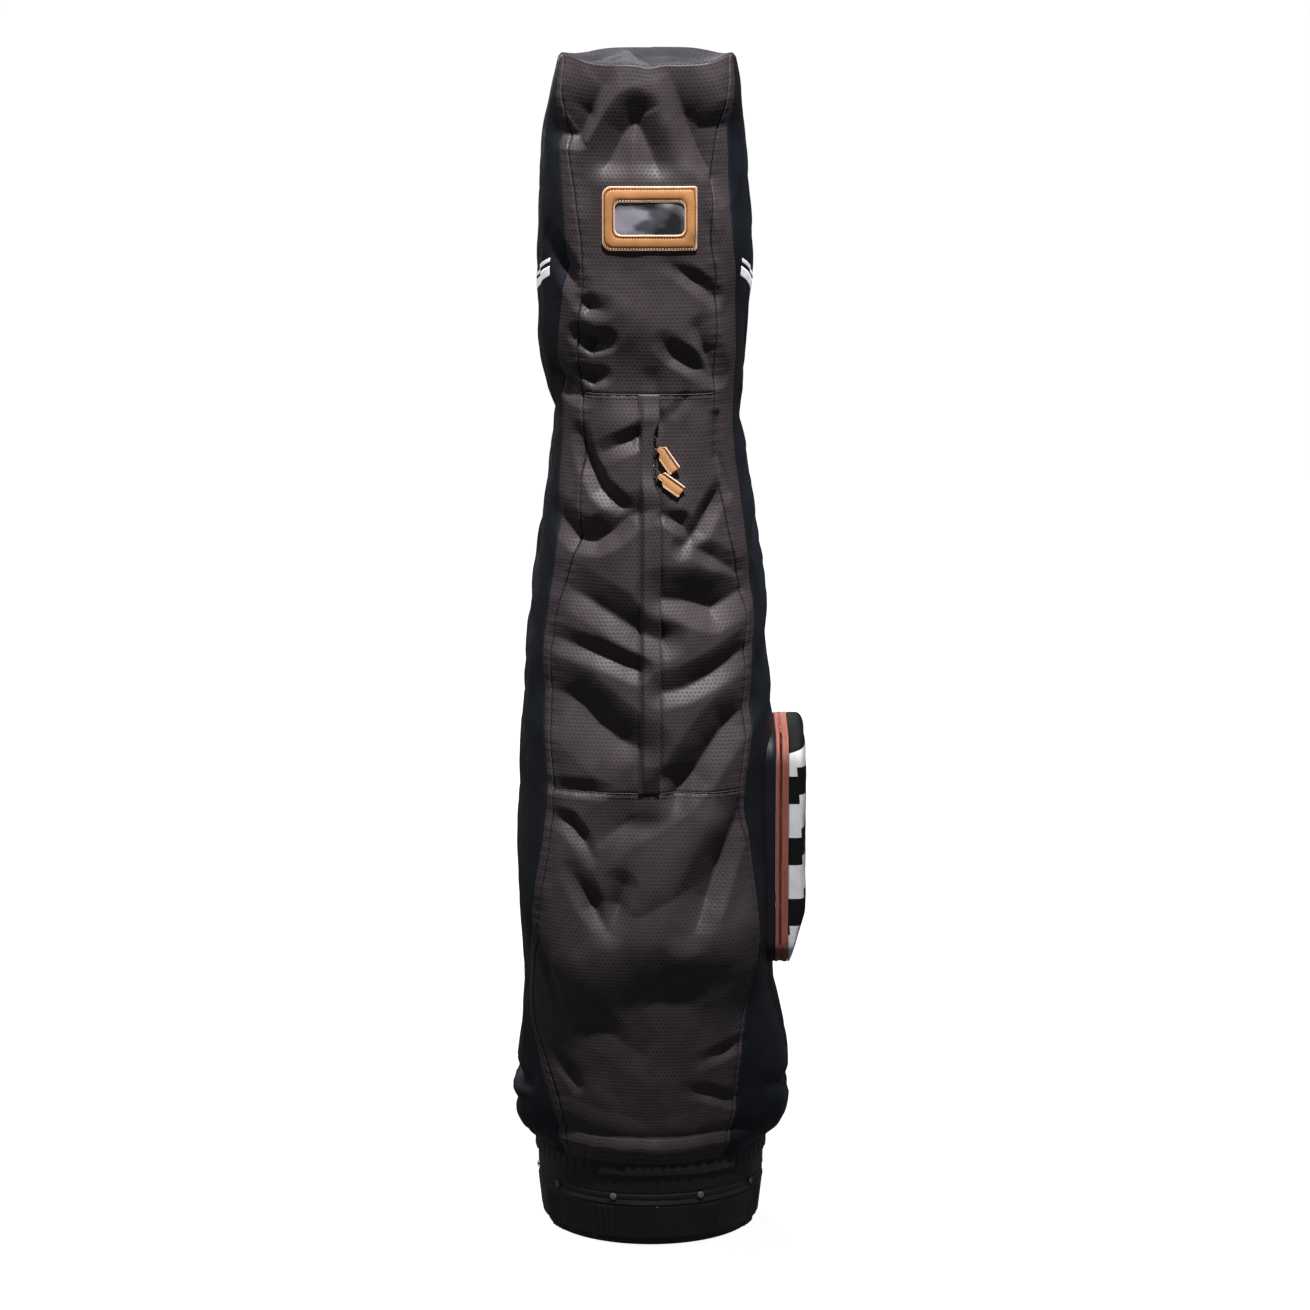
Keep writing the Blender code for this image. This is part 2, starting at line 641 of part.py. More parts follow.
def cover_crown():
    """The flat top panel, a little higher in its middle, closing the hood."""
    count = 48
    angles = [math.tau * k / count for k in range(count)]

    def loop(share, height):
        return [
            Vector((p.x * share, p.y * share, height))
            for p in (cover_point(a, COVER_TOP) for a in angles)
        ]

    low = COVER_TOP + GAP
    high = TOTAL_HEIGHT
    outer = [loop(1.0, low), loop(1.0, low + FABRIC), loop(0.93, high - 0.0035), loop(0.80, high),
             loop(0.30, high)]
    inner = [loop(0.30, high - FABRIC), loop(0.78, high - FABRIC), loop(0.90, high - 0.0060),
             loop(0.965, low)]
    bm = bmesh.new()
    made = [[bm.verts.new(p) for p in points] for points in outer + inner]
    for k, (first, second) in enumerate(zip(made, made[1:] + made[:1])):
        if k == len(outer) - 1:
            continue
        for c in range(count):
            d = (c + 1) % count
            bm.faces.new((first[c], first[d], second[d], second[c]))
    bm.faces.new(made[len(outer) - 1])
    bm.faces.new(made[len(outer)])
    return add_object("cover_crown", bm, "honeycomb_nylon")


def hem_band():
    return turned("hem_elastic", (
        (HEM_INNER_R, HEM_BOTTOM), (HEM_R - 0.0005, HEM_BOTTOM), (HEM_R, HEM_BOTTOM + 0.0010),
        (HEM_R, HEM_TOP - 0.0010), (HEM_R - 0.0005, HEM_TOP), (HEM_INNER_R, HEM_TOP),
    ), "elastic", 72, ring=True)


# ---------------------------------------------------------------- the front zip
ZIP_FOOT = Vector((0, -ZIP_LOW_DEPTH, SEAM_LOW))
ZIP_HEAD = Vector((0, -ZIP_HIGH_DEPTH, SEAM_HIGH))
ZIP_UP = (ZIP_HEAD - ZIP_FOOT).normalized()
ZIP_OUT = Vector((1, 0, 0)).cross(ZIP_UP).normalized()
ZIP_LENGTH = (ZIP_HEAD - ZIP_FOOT).length
ZIP_FRAME = frame_of(ZIP_FOOT, Vector((1, 0, 0)), ZIP_UP, ZIP_OUT)


def along_zip(height):
    """How far along the zip a height is."""
    return (height - SEAM_LOW) / ZIP_UP.z


def front_zip():
    end = ZIP_LENGTH - 0.0030
    for name, side in (("left", -1), ("right", 1)):
        xs = sorted((side * 0.0052, side * 0.0016))
        box(f"zip_tape_{name}", (xs[0], 0.0030, -0.0017), (xs[1], end, -0.0007), "black_tape", ZIP_FRAME)
        xs = sorted((side * 0.0013, side * 0.0002))
        box(f"zip_teeth_{name}", (xs[0], 0.0050, -0.0015), (xs[1], end - 0.002, 0.0010), "zip_metal",
            ZIP_FRAME)
    box("zip_stop_bottom", (-0.0026, 0.0006, 0.0002), (0.0026, 0.0026, 0.0016), "zip_metal",
        ZIP_FRAME, 0.0004)
    box("zip_stop_top", (-0.0026, end + 0.0004, 0.0002), (0.0026, end + 0.0024, 0.0016), "zip_metal",
        ZIP_FRAME, 0.0004)


def slider(name, frame):
    """A zip slider: a plate with side lips that rides over the teeth, and a bridge for the pull."""
    half, width = 0.0050, 0.0042
    bm = bmesh.new()
    box_mesh(bm, (-width, -half, 0.0013), (width, half, 0.0026))
    bmesh.ops.bevel(bm, geom=list(bm.edges), offset=0.0004, segments=1, affect="EDGES")
    body = add_object(name, bm, "zip_metal", smooth=False)
    parts = (
        ((-width + 0.0002, -half + 0.0006, 0.0002), (-0.0031, half - 0.0006, 0.0020)),
        ((0.0031, -half + 0.0006, 0.0002), (width - 0.0002, half - 0.0006, 0.0020)),
        ((-0.0006, 0.0024, 0.0020), (0.0006, 0.0032, 0.0047)),
        ((-0.0006, -0.0032, 0.0020), (0.0006, -0.0024, 0.0047)),
        ((-0.00055, -0.0031, 0.0041), (0.00055, 0.0031, 0.0050)),
    )
    for low, high in parts:
        boolean(body, box("part", low, high, "zip_metal"), "UNION")
    body.data.transform(frame)
    return body


WIRE_R = 0.00055
WIRE_HEIGHT = 0.0034
RING_HALF = 0.0036


def pull_ring(name, frame, start, hinge):
    """The wire link from the slider's bridge to the pull tab, a long closed loop with cut corners."""
    along = (hinge - start).normalized()
    across = Vector((-along.y, along.x))
    cut = 0.0008
    length = (hinge - start).length
    outline = ((-RING_HALF + cut, 0), (RING_HALF - cut, 0), (RING_HALF, cut), (RING_HALF, length - cut),
               (RING_HALF - cut, length), (-RING_HALF + cut, length), (-RING_HALF, length - cut),
               (-RING_HALF, cut))
    centres = [start + across * x + along * y for x, y in outline]
    count = len(centres)
    loops = []
    for k, centre in enumerate(centres):
        before, after = centres[k - 1], centres[(k + 1) % count]
        outward = ((centre - before).normalized() + (after - centre).normalized()).normalized()
        side = Vector((outward.y, -outward.x))
        loops.append([
            Vector((
                centre.x + side.x * WIRE_R * math.cos(math.tau * s / 8),
                centre.y + side.y * WIRE_R * math.cos(math.tau * s / 8),
                WIRE_HEIGHT + WIRE_R * math.sin(math.tau * s / 8),
            ))
            for s in range(8)
        ])
    ring = skin(name, loops, "zip_metal", ring=True)
    ring.data.transform(frame)
    return ring


TAB_LENGTH, TAB_HALF_WIDTH, TAB_HALF_THICK, TAB_BARREL_R = 0.0300, 0.0070, 0.0013, 0.0017


def pull_tab(name, frame, start, hinge):
    """A folded leather pull, with a tunnel for the ring's cross bar; its corner by the flap is cut off."""
    along = (hinge - start).normalized()
    across = Vector((-along.y, along.x))
    local = frame_of(
        Vector((hinge.x, hinge.y, WIRE_HEIGHT)), Vector((across.x, across.y, 0)),
        Vector((along.x, along.y, 0)), Vector((0, 0, -1)),
    )
    w, root = TAB_HALF_WIDTH, 0.0025
    outline = ((-root, 0.0012), (root, 0.0012), (root, 0.0018), (w, 0.0034), (w, TAB_LENGTH - 0.0012),
               (w - 0.0012, TAB_LENGTH), (-w + 0.0012, TAB_LENGTH), (-w, TAB_LENGTH - 0.0012),
               (-w, 0.0105), (-root, 0.0062))
    loops = [[Vector((x, y, z)) for x, y in outline] for z in (-TAB_HALF_THICK, TAB_HALF_THICK)]
    tab = skin(name, loops, "tan_leather", smooth=False)
    barrel = skin("barrel", [
        [Vector((x, TAB_BARREL_R * math.cos(math.tau * k / 16), TAB_BARREL_R * math.sin(math.tau * k / 16)))
         for k in range(16)]
        for x in (-root - 0.0001, root + 0.0001)
    ], "tan_leather")
    boolean(tab, barrel, "UNION")
    bore = skin("bore", [
        [Vector((x, 0.0009 * math.cos(math.tau * k / 10), 0.0009 * math.sin(math.tau * k / 10)))
         for k in range(10)]
        for x in (-0.006, 0.006)
    ], "tan_leather")
    boolean(tab, bore, "DIFFERENCE")
    tab.data.transform(frame @ local)
    return tab


def front_pulls():
    for which, height, angle in (
        ("upper", UPPER_SLIDER_Z, UPPER_PULL_ANGLE), ("lower", LOWER_SLIDER_Z, LOWER_PULL_ANGLE)
    ):
        place = Matrix.Translation(ZIP_UP * along_zip(height)) @ ZIP_FRAME
        slider(f"slider_{which}", place)
        start = Vector((0.0, 0.0))
        hinge = Vector((PULL_HINGE_X, PULL_HINGE_X * math.tan(angle)))
        pull_ring(f"pull_ring_{which}", place, start, hinge)
        pull_tab(f"pull_tab_{which}", place, start, hinge)


def storm_flap():
    """The strip that covers the zip: stitched down at its left, free at its right."""
    low, high = 0.0012, ZIP_LENGTH - 0.0012
    under, thick = FLAP_UNDERSIDE, FLAP_THICKNESS
    top, bottom = along_zip(0.8920), along_zip(0.8240)
    outer, inner = [], []
    for u in (low, 0.10, 0.20, bottom, bottom + 0.012, top - 0.012, top, high):
        edge = FLAP_EDGE - (FLAP_DIP if bottom < u < top else 0.0)
        inside = ((FLAP_ROOT, 0.0007), (FLAP_ROOT + 0.0014, 0.0030), (FLAP_ROOT + 0.0040, under),
                  (0.0, under), (edge, under))
        outside = ((FLAP_ROOT, 0.0018), (FLAP_ROOT + 0.0006, 0.0042), (FLAP_ROOT + 0.0034, under + thick),
                   (0.0, under + thick), (edge, under + thick))
        inner.append([ZIP_FRAME @ Vector((x, u, d)) for x, d in inside])
        outer.append([ZIP_FRAME @ Vector((x, u, d)) for x, d in outside])
    return slab("storm_flap", outer, inner, "honeycomb_nylon")


# ---------------------------------------------------------------- name window
def front_patch(name, x_range, z_range, near, far, material_name="tan_leather", columns=13, rows=7):
    """A patch that follows the front of the cover between two offsets from it."""
    outer, inner = [], []
    for r in range(rows):
        z = z_range[0] + (z_range[1] - z_range[0]) * r / (rows - 1)
        xs = [x_range[0] + (x_range[1] - x_range[0]) * c / (columns - 1) for c in range(columns)]
        angles = [front_angle_for(x, z) for x in xs]
        outer.append([on_cover(a, z, far) for a in angles])
        inner.append([on_cover(a, z, near) for a in angles])
    return slab(name, outer, inner, material_name)


def front_angle_for(x, height):
    power = blend(COVER_SECTIONS, height, 4)
    share = min(abs(x) / half_width(height, x > 0), 0.98)
    return math.atan2(x, half_depth(height) * (1 - share**power) ** (1 / power))


def window_prism(name, half_width_, half_height, corner_left, corner_right):
    """A block through the front of the cover with the window's rounded outline."""
    cx, cz = WINDOW_CENTRE
    outline = []
    corners = ((1, -1, corner_right), (1, 1, corner_right), (-1, 1, corner_left), (-1, -1, corner_left))
    for k, (sx, sz, radius) in enumerate(corners):
        for step in range(5):
            a = math.radians(-90 + 90 * k + 22.5 * step)
            outline.append((
                cx + sx * (half_width_ - radius) + radius * math.cos(a),
                cz + sz * (half_height - radius) + radius * math.sin(a),
            ))
    loops = [[Vector((x, y, z)) for x, z in outline] for y in (-0.20, -0.05)]
    return skin(name, loops, "tan_leather")


def name_window():
    """A leather frame with a clear pane behind it, sewn on the upper front panel."""
    (fw, fh), (pw, ph) = WINDOW_FRAME, WINDOW_PANE
    cx, cz = WINDOW_CENTRE
    wide, tall = (cx - fw / 2 - 0.002, cx + fw / 2 + 0.002), (cz - fh / 2 - 0.002, cz + fh / 2 + 0.002)
    frame = front_patch("window_frame", wide, tall, 0.0016, 0.0034)
    boolean(frame, window_prism("outline", fw / 2, fh / 2, 0.009, 0.002), "INTERSECT")
    boolean(frame, window_prism("opening", pw / 2, ph / 2, 0.006, 0.006), "DIFFERENCE")
    margin = 0.0060
    front_patch(
        "window_pane", (cx - pw / 2 - margin, cx + pw / 2 + margin),
        (cz - ph / 2 - margin, cz + ph / 2 + margin), 0.0006, 0.0012, "clear_vinyl", 11, 5,
    )


# ---------------------------------------------------------------- side pocket
def pocket_outline(inset, x):
    points = rounded_rectangle(POCKET_HALF_WIDTH, POCKET_HALF_HEIGHT, POCKET_CORNER, inset)
    return [Vector((x, y, POCKET_CENTRE_Z + z)) for y, z in points]


def pocket_ring(name, x_range, inset, thick, material_name):
    loops = [pocket_outline(inset, x_range[0]), pocket_outline(inset, x_range[1]),
             pocket_outline(inset + thick, x_range[1]), pocket_outline(inset + thick, x_range[0])]
    return skin(name, loops, material_name, ring=True)


def pocket_strip(name, x_range, inset, thick, material_name, bottom=False):
    """Part of the pocket's wall: the three zipped sides, or the sewn bottom."""
    near, far = pocket_outline(inset, 0), pocket_outline(inset + thick, 0)
    side_ends = (4, 15)  # the outline's points where the straight sides meet the lower corners
    if bottom:
        picked = list(range(side_ends[1], 20)) + list(range(0, side_ends[0] + 1))
        trim = -0.0002
    else:
        picked = list(range(side_ends[0], side_ends[1] + 1))
        trim = 0.0002
    outer_line, inner_line = [near[k].copy() for k in picked], [far[k].copy() for k in picked]
    for line in (outer_line, inner_line):
        line[0].z += trim
        line[-1].z += trim
    outer = [[Vector((x, p.y, p.z)) for p in outer_line] for x in x_range]
    inner = [[Vector((x, p.y, p.z)) for p in inner_line] for x in x_range]
    return slab(name, outer, inner, material_name)


def cover_core():
    """The cover's side, a little proud, as a block that trims what is sewn to it."""
    heights = [z for z in BELOW + BESIDE[1:] if 0.2 < z < 0.7]
    loops = [[on_cover(math.tau * k / 96, z, 0.0007) for k in range(96)] for z in heights]
    return skin("core", loops, "side_nylon")


def pocket():
    wall = POCKET_WALL
    gusset = pocket_ring("pocket_gusset", (0.1120, 0.1334), 0.0, wall, "side_nylon")
    boolean(gusset, cover_core(), "DIFFERENCE")
    pocket_strip("pocket_tape_inner", (0.1338, 0.1372), 0.0002, 0.0014, "rust_tape")
    pocket_strip("pocket_teeth_inner", (0.1375, 0.1386), 0.0, 0.0018, "zip_metal")
    pocket_strip("pocket_teeth_outer", (0.1390, 0.1401), 0.0, 0.0018, "zip_metal")
    pocket_strip("pocket_tape_outer", (0.1404, 0.1469), 0.0002, 0.0014, "rust_tape")
    pocket_strip("pocket_hinge_strip", (0.1338, 0.1468), 0.0002, 0.0014, "black_tape", bottom=True)
    face = POCKET_FACE_X
    outer = ((0.0, POCKET_RIM_X), (0.0, face - 0.0100), (0.0030, face - 0.0050), (0.0100, face - 0.0018),
             (0.0260, face))
    shell = [pocket_outline(inset, x) for inset, x in outer]
    inside = [pocket_outline(inset + wall * lean, x - wall * rise) for (inset, x), lean, rise in zip(
        outer, (1, 1, 0.8, 0.4, 0.0), (0, 0, 0.6, 0.9, 1.0))]
    bm = bmesh.new()
    made = [[bm.verts.new(p) for p in loop] for loop in shell + list(reversed(inside))]
    count = len(made[0])
    for k in range(len(made)):
        if k == len(shell) - 1:
            continue
        first, second = made[k], made[(k + 1) % len(made)]
        for c in range(count):
            d = (c + 1) % count
            bm.faces.new((first[c], first[d], second[d], second[c]))
    bm.faces.new(made[len(shell) - 1])
    bm.faces.new(made[len(shell)])
    add_object("pocket_front", bm, "striped_canvas")


def pocket_pull():
    """The pocket's slider on the rear wall, with its pull hanging straight down."""
    place = frame_of(
        Vector((POCKET_ZIP_X, POCKET_HALF_WIDTH + 0.0002, POCKET_SLIDER_Z)),
        Vector((-1, 0, 0)), Vector((0, 0, 1)), Vector((0, 1, 0)),
    )
    slider("pocket_slider", place)
    start, hinge = Vector((0.0, 0.0)), Vector((0.0, -0.0120))
    pull_ring("pocket_pull_ring", place, start, hinge)
    pull_tab("pocket_pull_tab", place, start, hinge)


# ---------------------------------------------------------------- assembly
def main():
    clear_scene()
    base_cup()
    base_band()
    rivets()
    bag_floor()
    bag_tube()
    top_cuff()
    cuff_divider()
    spine_stays()
    flat_pocket("bag_ball_pocket", 0.0, math.radians(34), 0.15, 0.40)
    flat_pocket("bag_side_pocket_left", math.radians(-92), math.radians(42), 0.15, 0.62)
    flat_pocket("bag_side_pocket_right", math.radians(92), math.radians(42), 0.15, 0.62)
    bag_handle()
    pole()
    cover_panels()
    cover_crown()
    hem_band()
    front_zip()
    front_pulls()
    storm_flap()
    name_window()
    pocket()
    pocket_pull()


main()
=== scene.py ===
"""The looks of a golf bag in its travel cover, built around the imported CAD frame.

Lengths are metres, +Z is up and the front faces -Y.  The cover's cloth is a lofted hood whose folds are
valleys drawn on the unrolled cloth: each has a shaded flank on the left of its direction and a lit
flank on its right.
"""

import math

import bmesh
import bpy
import numpy as np
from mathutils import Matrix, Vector


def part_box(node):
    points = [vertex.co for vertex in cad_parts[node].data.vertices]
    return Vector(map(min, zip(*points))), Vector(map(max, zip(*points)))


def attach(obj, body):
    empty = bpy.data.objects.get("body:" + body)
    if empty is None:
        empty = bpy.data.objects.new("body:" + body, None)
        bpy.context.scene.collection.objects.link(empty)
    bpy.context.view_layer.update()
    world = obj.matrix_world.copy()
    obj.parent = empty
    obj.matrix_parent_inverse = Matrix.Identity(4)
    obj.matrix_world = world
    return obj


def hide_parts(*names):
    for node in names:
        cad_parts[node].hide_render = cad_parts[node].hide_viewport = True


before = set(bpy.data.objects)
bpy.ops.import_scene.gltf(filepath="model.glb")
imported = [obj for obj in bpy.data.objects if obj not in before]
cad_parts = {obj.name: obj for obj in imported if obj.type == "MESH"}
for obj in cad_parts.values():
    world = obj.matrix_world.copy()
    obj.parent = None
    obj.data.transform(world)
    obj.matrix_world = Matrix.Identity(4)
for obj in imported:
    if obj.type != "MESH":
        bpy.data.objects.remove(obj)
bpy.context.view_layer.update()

TAU = math.tau


# ---------------------------------------------------------------- arithmetic helpers
def smooth(t):
    """From 0 to 1 with a soft start and end."""
    t = np.clip(t, 0, 1)
    return t * t * (3 - 2 * t)


def hump(x, reach, power=2):
    """1 where x is 0, falling to 1/e at the reach."""
    return np.exp(-(np.abs(x / reach) ** power))


def stacked(*parts):
    """Points or pairs from arrays of their coordinates."""
    return np.stack(np.broadcast_arrays(*parts), axis=-1)


def unit(vectors):
    return vectors / np.maximum(np.linalg.norm(vectors, axis=-1, keepdims=True), 1e-12)


def lengths_along(path):
    return np.concatenate(([0.0], np.cumsum(np.linalg.norm(np.diff(path, axis=0), axis=1))))


def spread(where, lengths, values):
    """The rows of values, which lie at the lengths given, read off where asked."""
    return np.stack([np.interp(where, lengths, column) for column in values.T], axis=-1)


def full_turn(count):
    return np.linspace(0, TAU, count, endpoint=False)


# ---------------------------------------------------------------- the cover's form, as in the CAD
COVER_BOTTOM, COVER_TOP = 0.0963, 1.2620
SEAM_LOW, SEAM_HIGH = 0.5050, 0.9250
ZIP_LOW_DEPTH, ZIP_HIGH_DEPTH = 0.1400, 0.1120
COVER_SECTIONS = np.array((
    # height, half-width to the left, to the right, half-depth, superellipse exponent
    (0.0963, 0.1270, 0.1270, 0.1270, 2.00),
    (0.1080, 0.1410, 0.1410, 0.1400, 2.05),
    (0.1250, 0.1480, 0.1490, 0.1470, 2.15),
    (0.1500, 0.1500, 0.1515, 0.1490, 2.30),
    (0.2000, 0.1425, 0.1480, 0.1480, 2.60),
    (0.2650, 0.1380, 0.1350, 0.1460, 2.90),
    (0.3300, 0.1410, 0.1305, 0.1458, 3.00),
    (0.4000, 0.1440, 0.1300, 0.1450, 3.00),
    (0.4500, 0.1430, 0.1300, 0.1437, 3.00),
    (0.5050, 0.1413, 0.1300, 0.1400, 3.00),
    (0.5650, 0.1400, 0.1315, 0.1360, 3.00),
    (0.6300, 0.1350, 0.1265, 0.1317, 2.95),
    (0.7000, 0.1290, 0.1235, 0.1270, 2.90),
    (0.7600, 0.1205, 0.1165, 0.1230, 2.85),
    (0.8300, 0.1105, 0.1055, 0.1183, 2.80),
    (0.8900, 0.1055, 0.1000, 0.1143, 2.80),
    (0.9250, 0.1100, 0.0995, 0.1120, 2.80),
    (0.9700, 0.1190, 0.1010, 0.1110, 2.85),
    (1.0500, 0.1200, 0.1085, 0.1165, 3.00),
    (1.1200, 0.1190, 0.1060, 0.1180, 3.00),
    (1.1800, 0.1150, 0.1000, 0.1140, 3.10),
    (1.2200, 0.1090, 0.0950, 0.1090, 3.30),
    (1.2620, 0.0965, 0.0880, 0.1020, 3.60),
))
SEAM_SHARES = np.array((
    # height, left, right
    (0.0963, 0.68, 0.61), (0.1500, 0.72, 0.66), (0.2000, 0.84, 0.69), (0.2450, 0.92, 0.76),
    (0.2900, 0.92, 0.81), (0.3550, 0.83, 0.82), (0.4300, 0.76, 0.80), (0.5050, 0.74, 0.74),
    (0.5700, 0.77, 0.78), (0.6500, 0.79, 0.81), (0.7100, 0.74, 0.82), (0.7700, 0.65, 0.73),
    (0.8500, 0.67, 0.69), (0.9250, 0.66, 0.66), (1.0400, 0.59, 0.63), (1.0900, 0.61, 0.59),
    (1.1770, 0.74, 0.70), (1.2470, 0.86, 0.84), (1.2620, 0.90, 0.88),
))
BACK_SEAM_SHARE = 0.72
CLOTH = 0.0007  # thickness of the cloth that shows
STRIPS = np.array((
    # how far the front cloth runs past its seams before the side cloth starts: height, left, right
    (0.0963, 0.010, 0.004), (0.2000, 0.012, 0.004), (0.3000, 0.013, 0.004), (0.4000, 0.011, 0.004),
    (0.5000, 0.007, 0.006), (0.6000, 0.008, 0.009), (0.7000, 0.014, 0.015), (0.7600, 0.025, 0.024),
    (0.8200, 0.031, 0.030), (0.9000, 0.031, 0.030), (0.9800, 0.026, 0.029), (1.0600, 0.021, 0.027),
    (1.1400, 0.013, 0.022), (1.2000, 0.009, 0.013), (1.2620, 0.006, 0.006),
))
FRONT_STEP, SIDE_STEP = 0.0021, 0.0030  # mesh spacing

# Valleys of the front, in millimetres: points (x, z, depth), then the widths of the shaded flank, on
# the left of the direction of travel, and of the lit flank on its right.
FRONT_FOLDS = (
    # under the crown: a tall A with a fold on each side of it
    (((-96, 1194, 5), (-78, 1194, 13), (-64, 1216, 15), (-50, 1242, 6)), 32, 15),
    (((-80, 1118, 0), (-57, 1146, 5), (-41, 1172, 10), (-28, 1196, 14), (-15, 1211, 16), (-1, 1182, 12),
      (11, 1150, 6), (24, 1122, 1)), 28, 36),
    (((30, 1222, 5), (54, 1203, 12), (80, 1200, 5)), 24, 60),
    (((20, 1254, 6), (37, 1214, 16), (53, 1180, 17), (68, 1149, 11), (80, 1120, 2)), 36, 22),
    (((66, 1073, 2), (60, 1098, 6), (53, 1125, 2)), 9, 8),
    # between the name window and the upper cross seam
    (((-106, 1086, 3), (-92, 1060, 8), (-77, 1037, 5)), 20, 16),
    (((-73, 1024, 4), (-63, 1017, 9), (-51, 1015, 4)), 17, 11),
    (((-74, 984, 5), (-60, 976, 11), (-46, 978, 5)), 20, 10),
    (((-73, 944, 4), (-60, 940, 9), (-50, 942, 4)), 15, 9),
    (((-101, 942, 4), (-87, 930, 9), (-72, 921, 4)), 20, 14),
    (((14, 981, 3), (27, 968, 9), (43, 958, 9), (58, 946, 4)), 15, 15),
    (((48, 994, 4), (56, 969, 10), (64, 942, 5)), 20, 10),
    (((22, 1062, 2), (45, 1045, 7), (66, 1027, 4)), 13, 12),
    # left of the storm flap
    (((-47, 866, 3), (-20, 878, 9), (10, 896, 7)), 14, 14),
    (((-73, 880, 4), (-66, 854, 9), (-52, 827, 10), (-31, 809, 8), (-16, 806, 3)), 15, 15),
    (((-96, 795, 3), (-77, 774, 10), (-58, 773, 11), (-40, 782, 9), (-22, 799, 6), (12, 809, 3)), 24, 18),
    (((-90, 723, 3), (-67, 710, 8), (-40, 695, 10), (-13, 678, 10), (12, 668, 9)), 30, 22),
    (((-98, 666, 3), (-55, 654, 8), (-13, 637, 8)), 17, 16),
    (((-105, 613, 4), (-76, 601, 12), (-52, 579, 15), (-31, 562, 14), (-12, 553, 9)), 36, 48),
    (((-106, 508, 3), (-71, 507, 6), (-50, 506, 2)), 14, 8),
    # right of the storm flap
    (((15, 901, 2), (25, 905, 4), (35, 920, 2)), 9, 10),
    (((82, 820, 3), (72, 860, 7), (69, 898, 3)), 13, 6),
    (((33, 766, 6), (49, 783, 9), (61, 804, 8), (73, 825, 3)), 13, 15),
    (((13, 800, 5), (31, 791, 8), (42, 774, 6)), 14, 11),
    (((37, 769, 3), (64, 755, 6), (95, 733, 4)), 15, 12),
    (((13, 711, 10), (40, 709, 13), (67, 700, 14), (100, 716, 7)), 36, 26),
    (((13, 613, 7), (35, 617, 9), (65, 631, 10), (95, 650, 7), (104, 655, 3)), 24, 17),
    (((-64, 444, 2), (-34, 468, 7), (-4, 486, 9), (22, 503, 12), (47, 528, 15), (65, 553, 15),
      (83, 576, 13), (102, 591, 7)), 34, 26),
    # the lower panel
    (((-104, 477, 2), (-86, 471, 8), (-74, 457, 9), (-62, 438, 4)), 14, 14),
    (((-41, 358, 4), (-34, 385, 11), (-28, 405, 7)), 24, 16),
    (((-82, 418, 3), (-63, 384, 11), (-45, 358, 5)), 20, 14),
    (((45, 357, 5), (61, 391, 14), (78, 430, 14), (93, 469, 9), (98, 500, 2)), 36, 18),
    (((60, 211, 2), (89, 220, 5), (107, 228, 2)), 12, 11),
    (((44, 178, 1), (68, 172, 5), (98, 159, 3)), 12, 11),
    (((-110, 214, 2), (-97, 195, 6), (-87, 180, 3)), 12, 13),
    (((-122, 345, 3), (-112, 310, 6), (-104, 280, 3)), 12, 10),
    (((-20, 262, 1), (30, 296, 3), (84, 318, 1)), 26, 30),
    (((-84, 262, 1), (-50, 246, 3), (0, 214, 1)), 24, 26),
)
# Rounded ridges: from and to as (along the cloth, height), then rise and half width, all in mm.
RIDGES = (
    ((-86, 1232), (82, 1232), 7.0, 44),
    ((-44, 1004), (52, 972), 9.5, 42),
    ((-70, 310), (12, 341), 11.0, 46),
    ((12, 341), (92, 330), 11.0, 46),
    ((60, 470), (-10, 384), 6.0, 24),
)
# Valleys of the sides and back: as above, but each point is (degrees round from the front, z, depth).
SIDE_FOLDS = (
    (((-128, 178, 4), (-96, 166, 13), (-64, 170, 6)), 16, 12),
    (((-120, 142, 3), (-92, 136, 7), (-66, 142, 3)), 12, 12),
    (((60, 168, 3), (88, 158, 7), (116, 170, 3)), 16, 16),
    (((-110, 905, 3), (-86, 884, 9), (-62, 900, 4)), 30, 26),
    (((62, 905, 3), (90, 872, 8), (116, 890, 3)), 30, 26),
)
# Random buckles of the sides and back: heights, degrees round, then ranges of the slant, the depth, the
# half width in degrees and the flank widths, the shift of every second one, how far the middle drifts
# before and after slanting (none if 0), and the depth at the ends. Lengths are in mm.
BUCKLES = (
    (range(560, 910, 62), (-152, -118, -84, 78, 112, 146, 180),
     (16, 30), (5, 9), (13, 20), (20, 30), 31, (14, 6), 2),
    ((980, 1060, 1130, 1200), (-150, -112, -78, 80, 116, 152),
     (20, 45), (3, 7), (8, 14), (18, 28), 0, (0, 0), 1),
    ((240, 330, 420, 500), (-160, -124, -90, 128, 164),
     (20, 50), (2, 6), (8, 14), (20, 34), 0, (0, 0), 1),
)
CREASE = 0.0009  # radius of a valley's bottom
DEEPER = 1.12  # scale of every fold's depth
FOLD_POWER = 2.5  # how strongly the deeper of two crossing valleys wins
MOST_OUTWARD = 0.0150  # how far a ridge may stand outside the plain form
PUCKER, PUCKER_PITCH = 0.00035, 0.0105

WINDOW_CENTRE, WINDOW_FRAME, WINDOW_PANE = (-0.0008, 1.1095), (0.0960, 0.0650), (0.0730, 0.0350)
TUBE_R, TUBE_WALL = 0.1120, 0.0025
TUBE_FOOT = 0.12  # height where the bag's tube starts to taper
MOUTH = (0.0970, 0.1080)
CUFF_BOTTOM, CUFF_TOP = 0.7900, 0.8500
POCKET_BOTTOM, POCKET_TOP, POCKET_HALF_ROUND = 0.3000, 0.5510, 0.082
PULLS_S, PULLS_Z, PULLS_REACH = 0.022, 0.866, 0.044  # where the front's two leather pulls lie
FLAP_GAUGE = 0.0016  # height of the storm flap's cloth at its ends

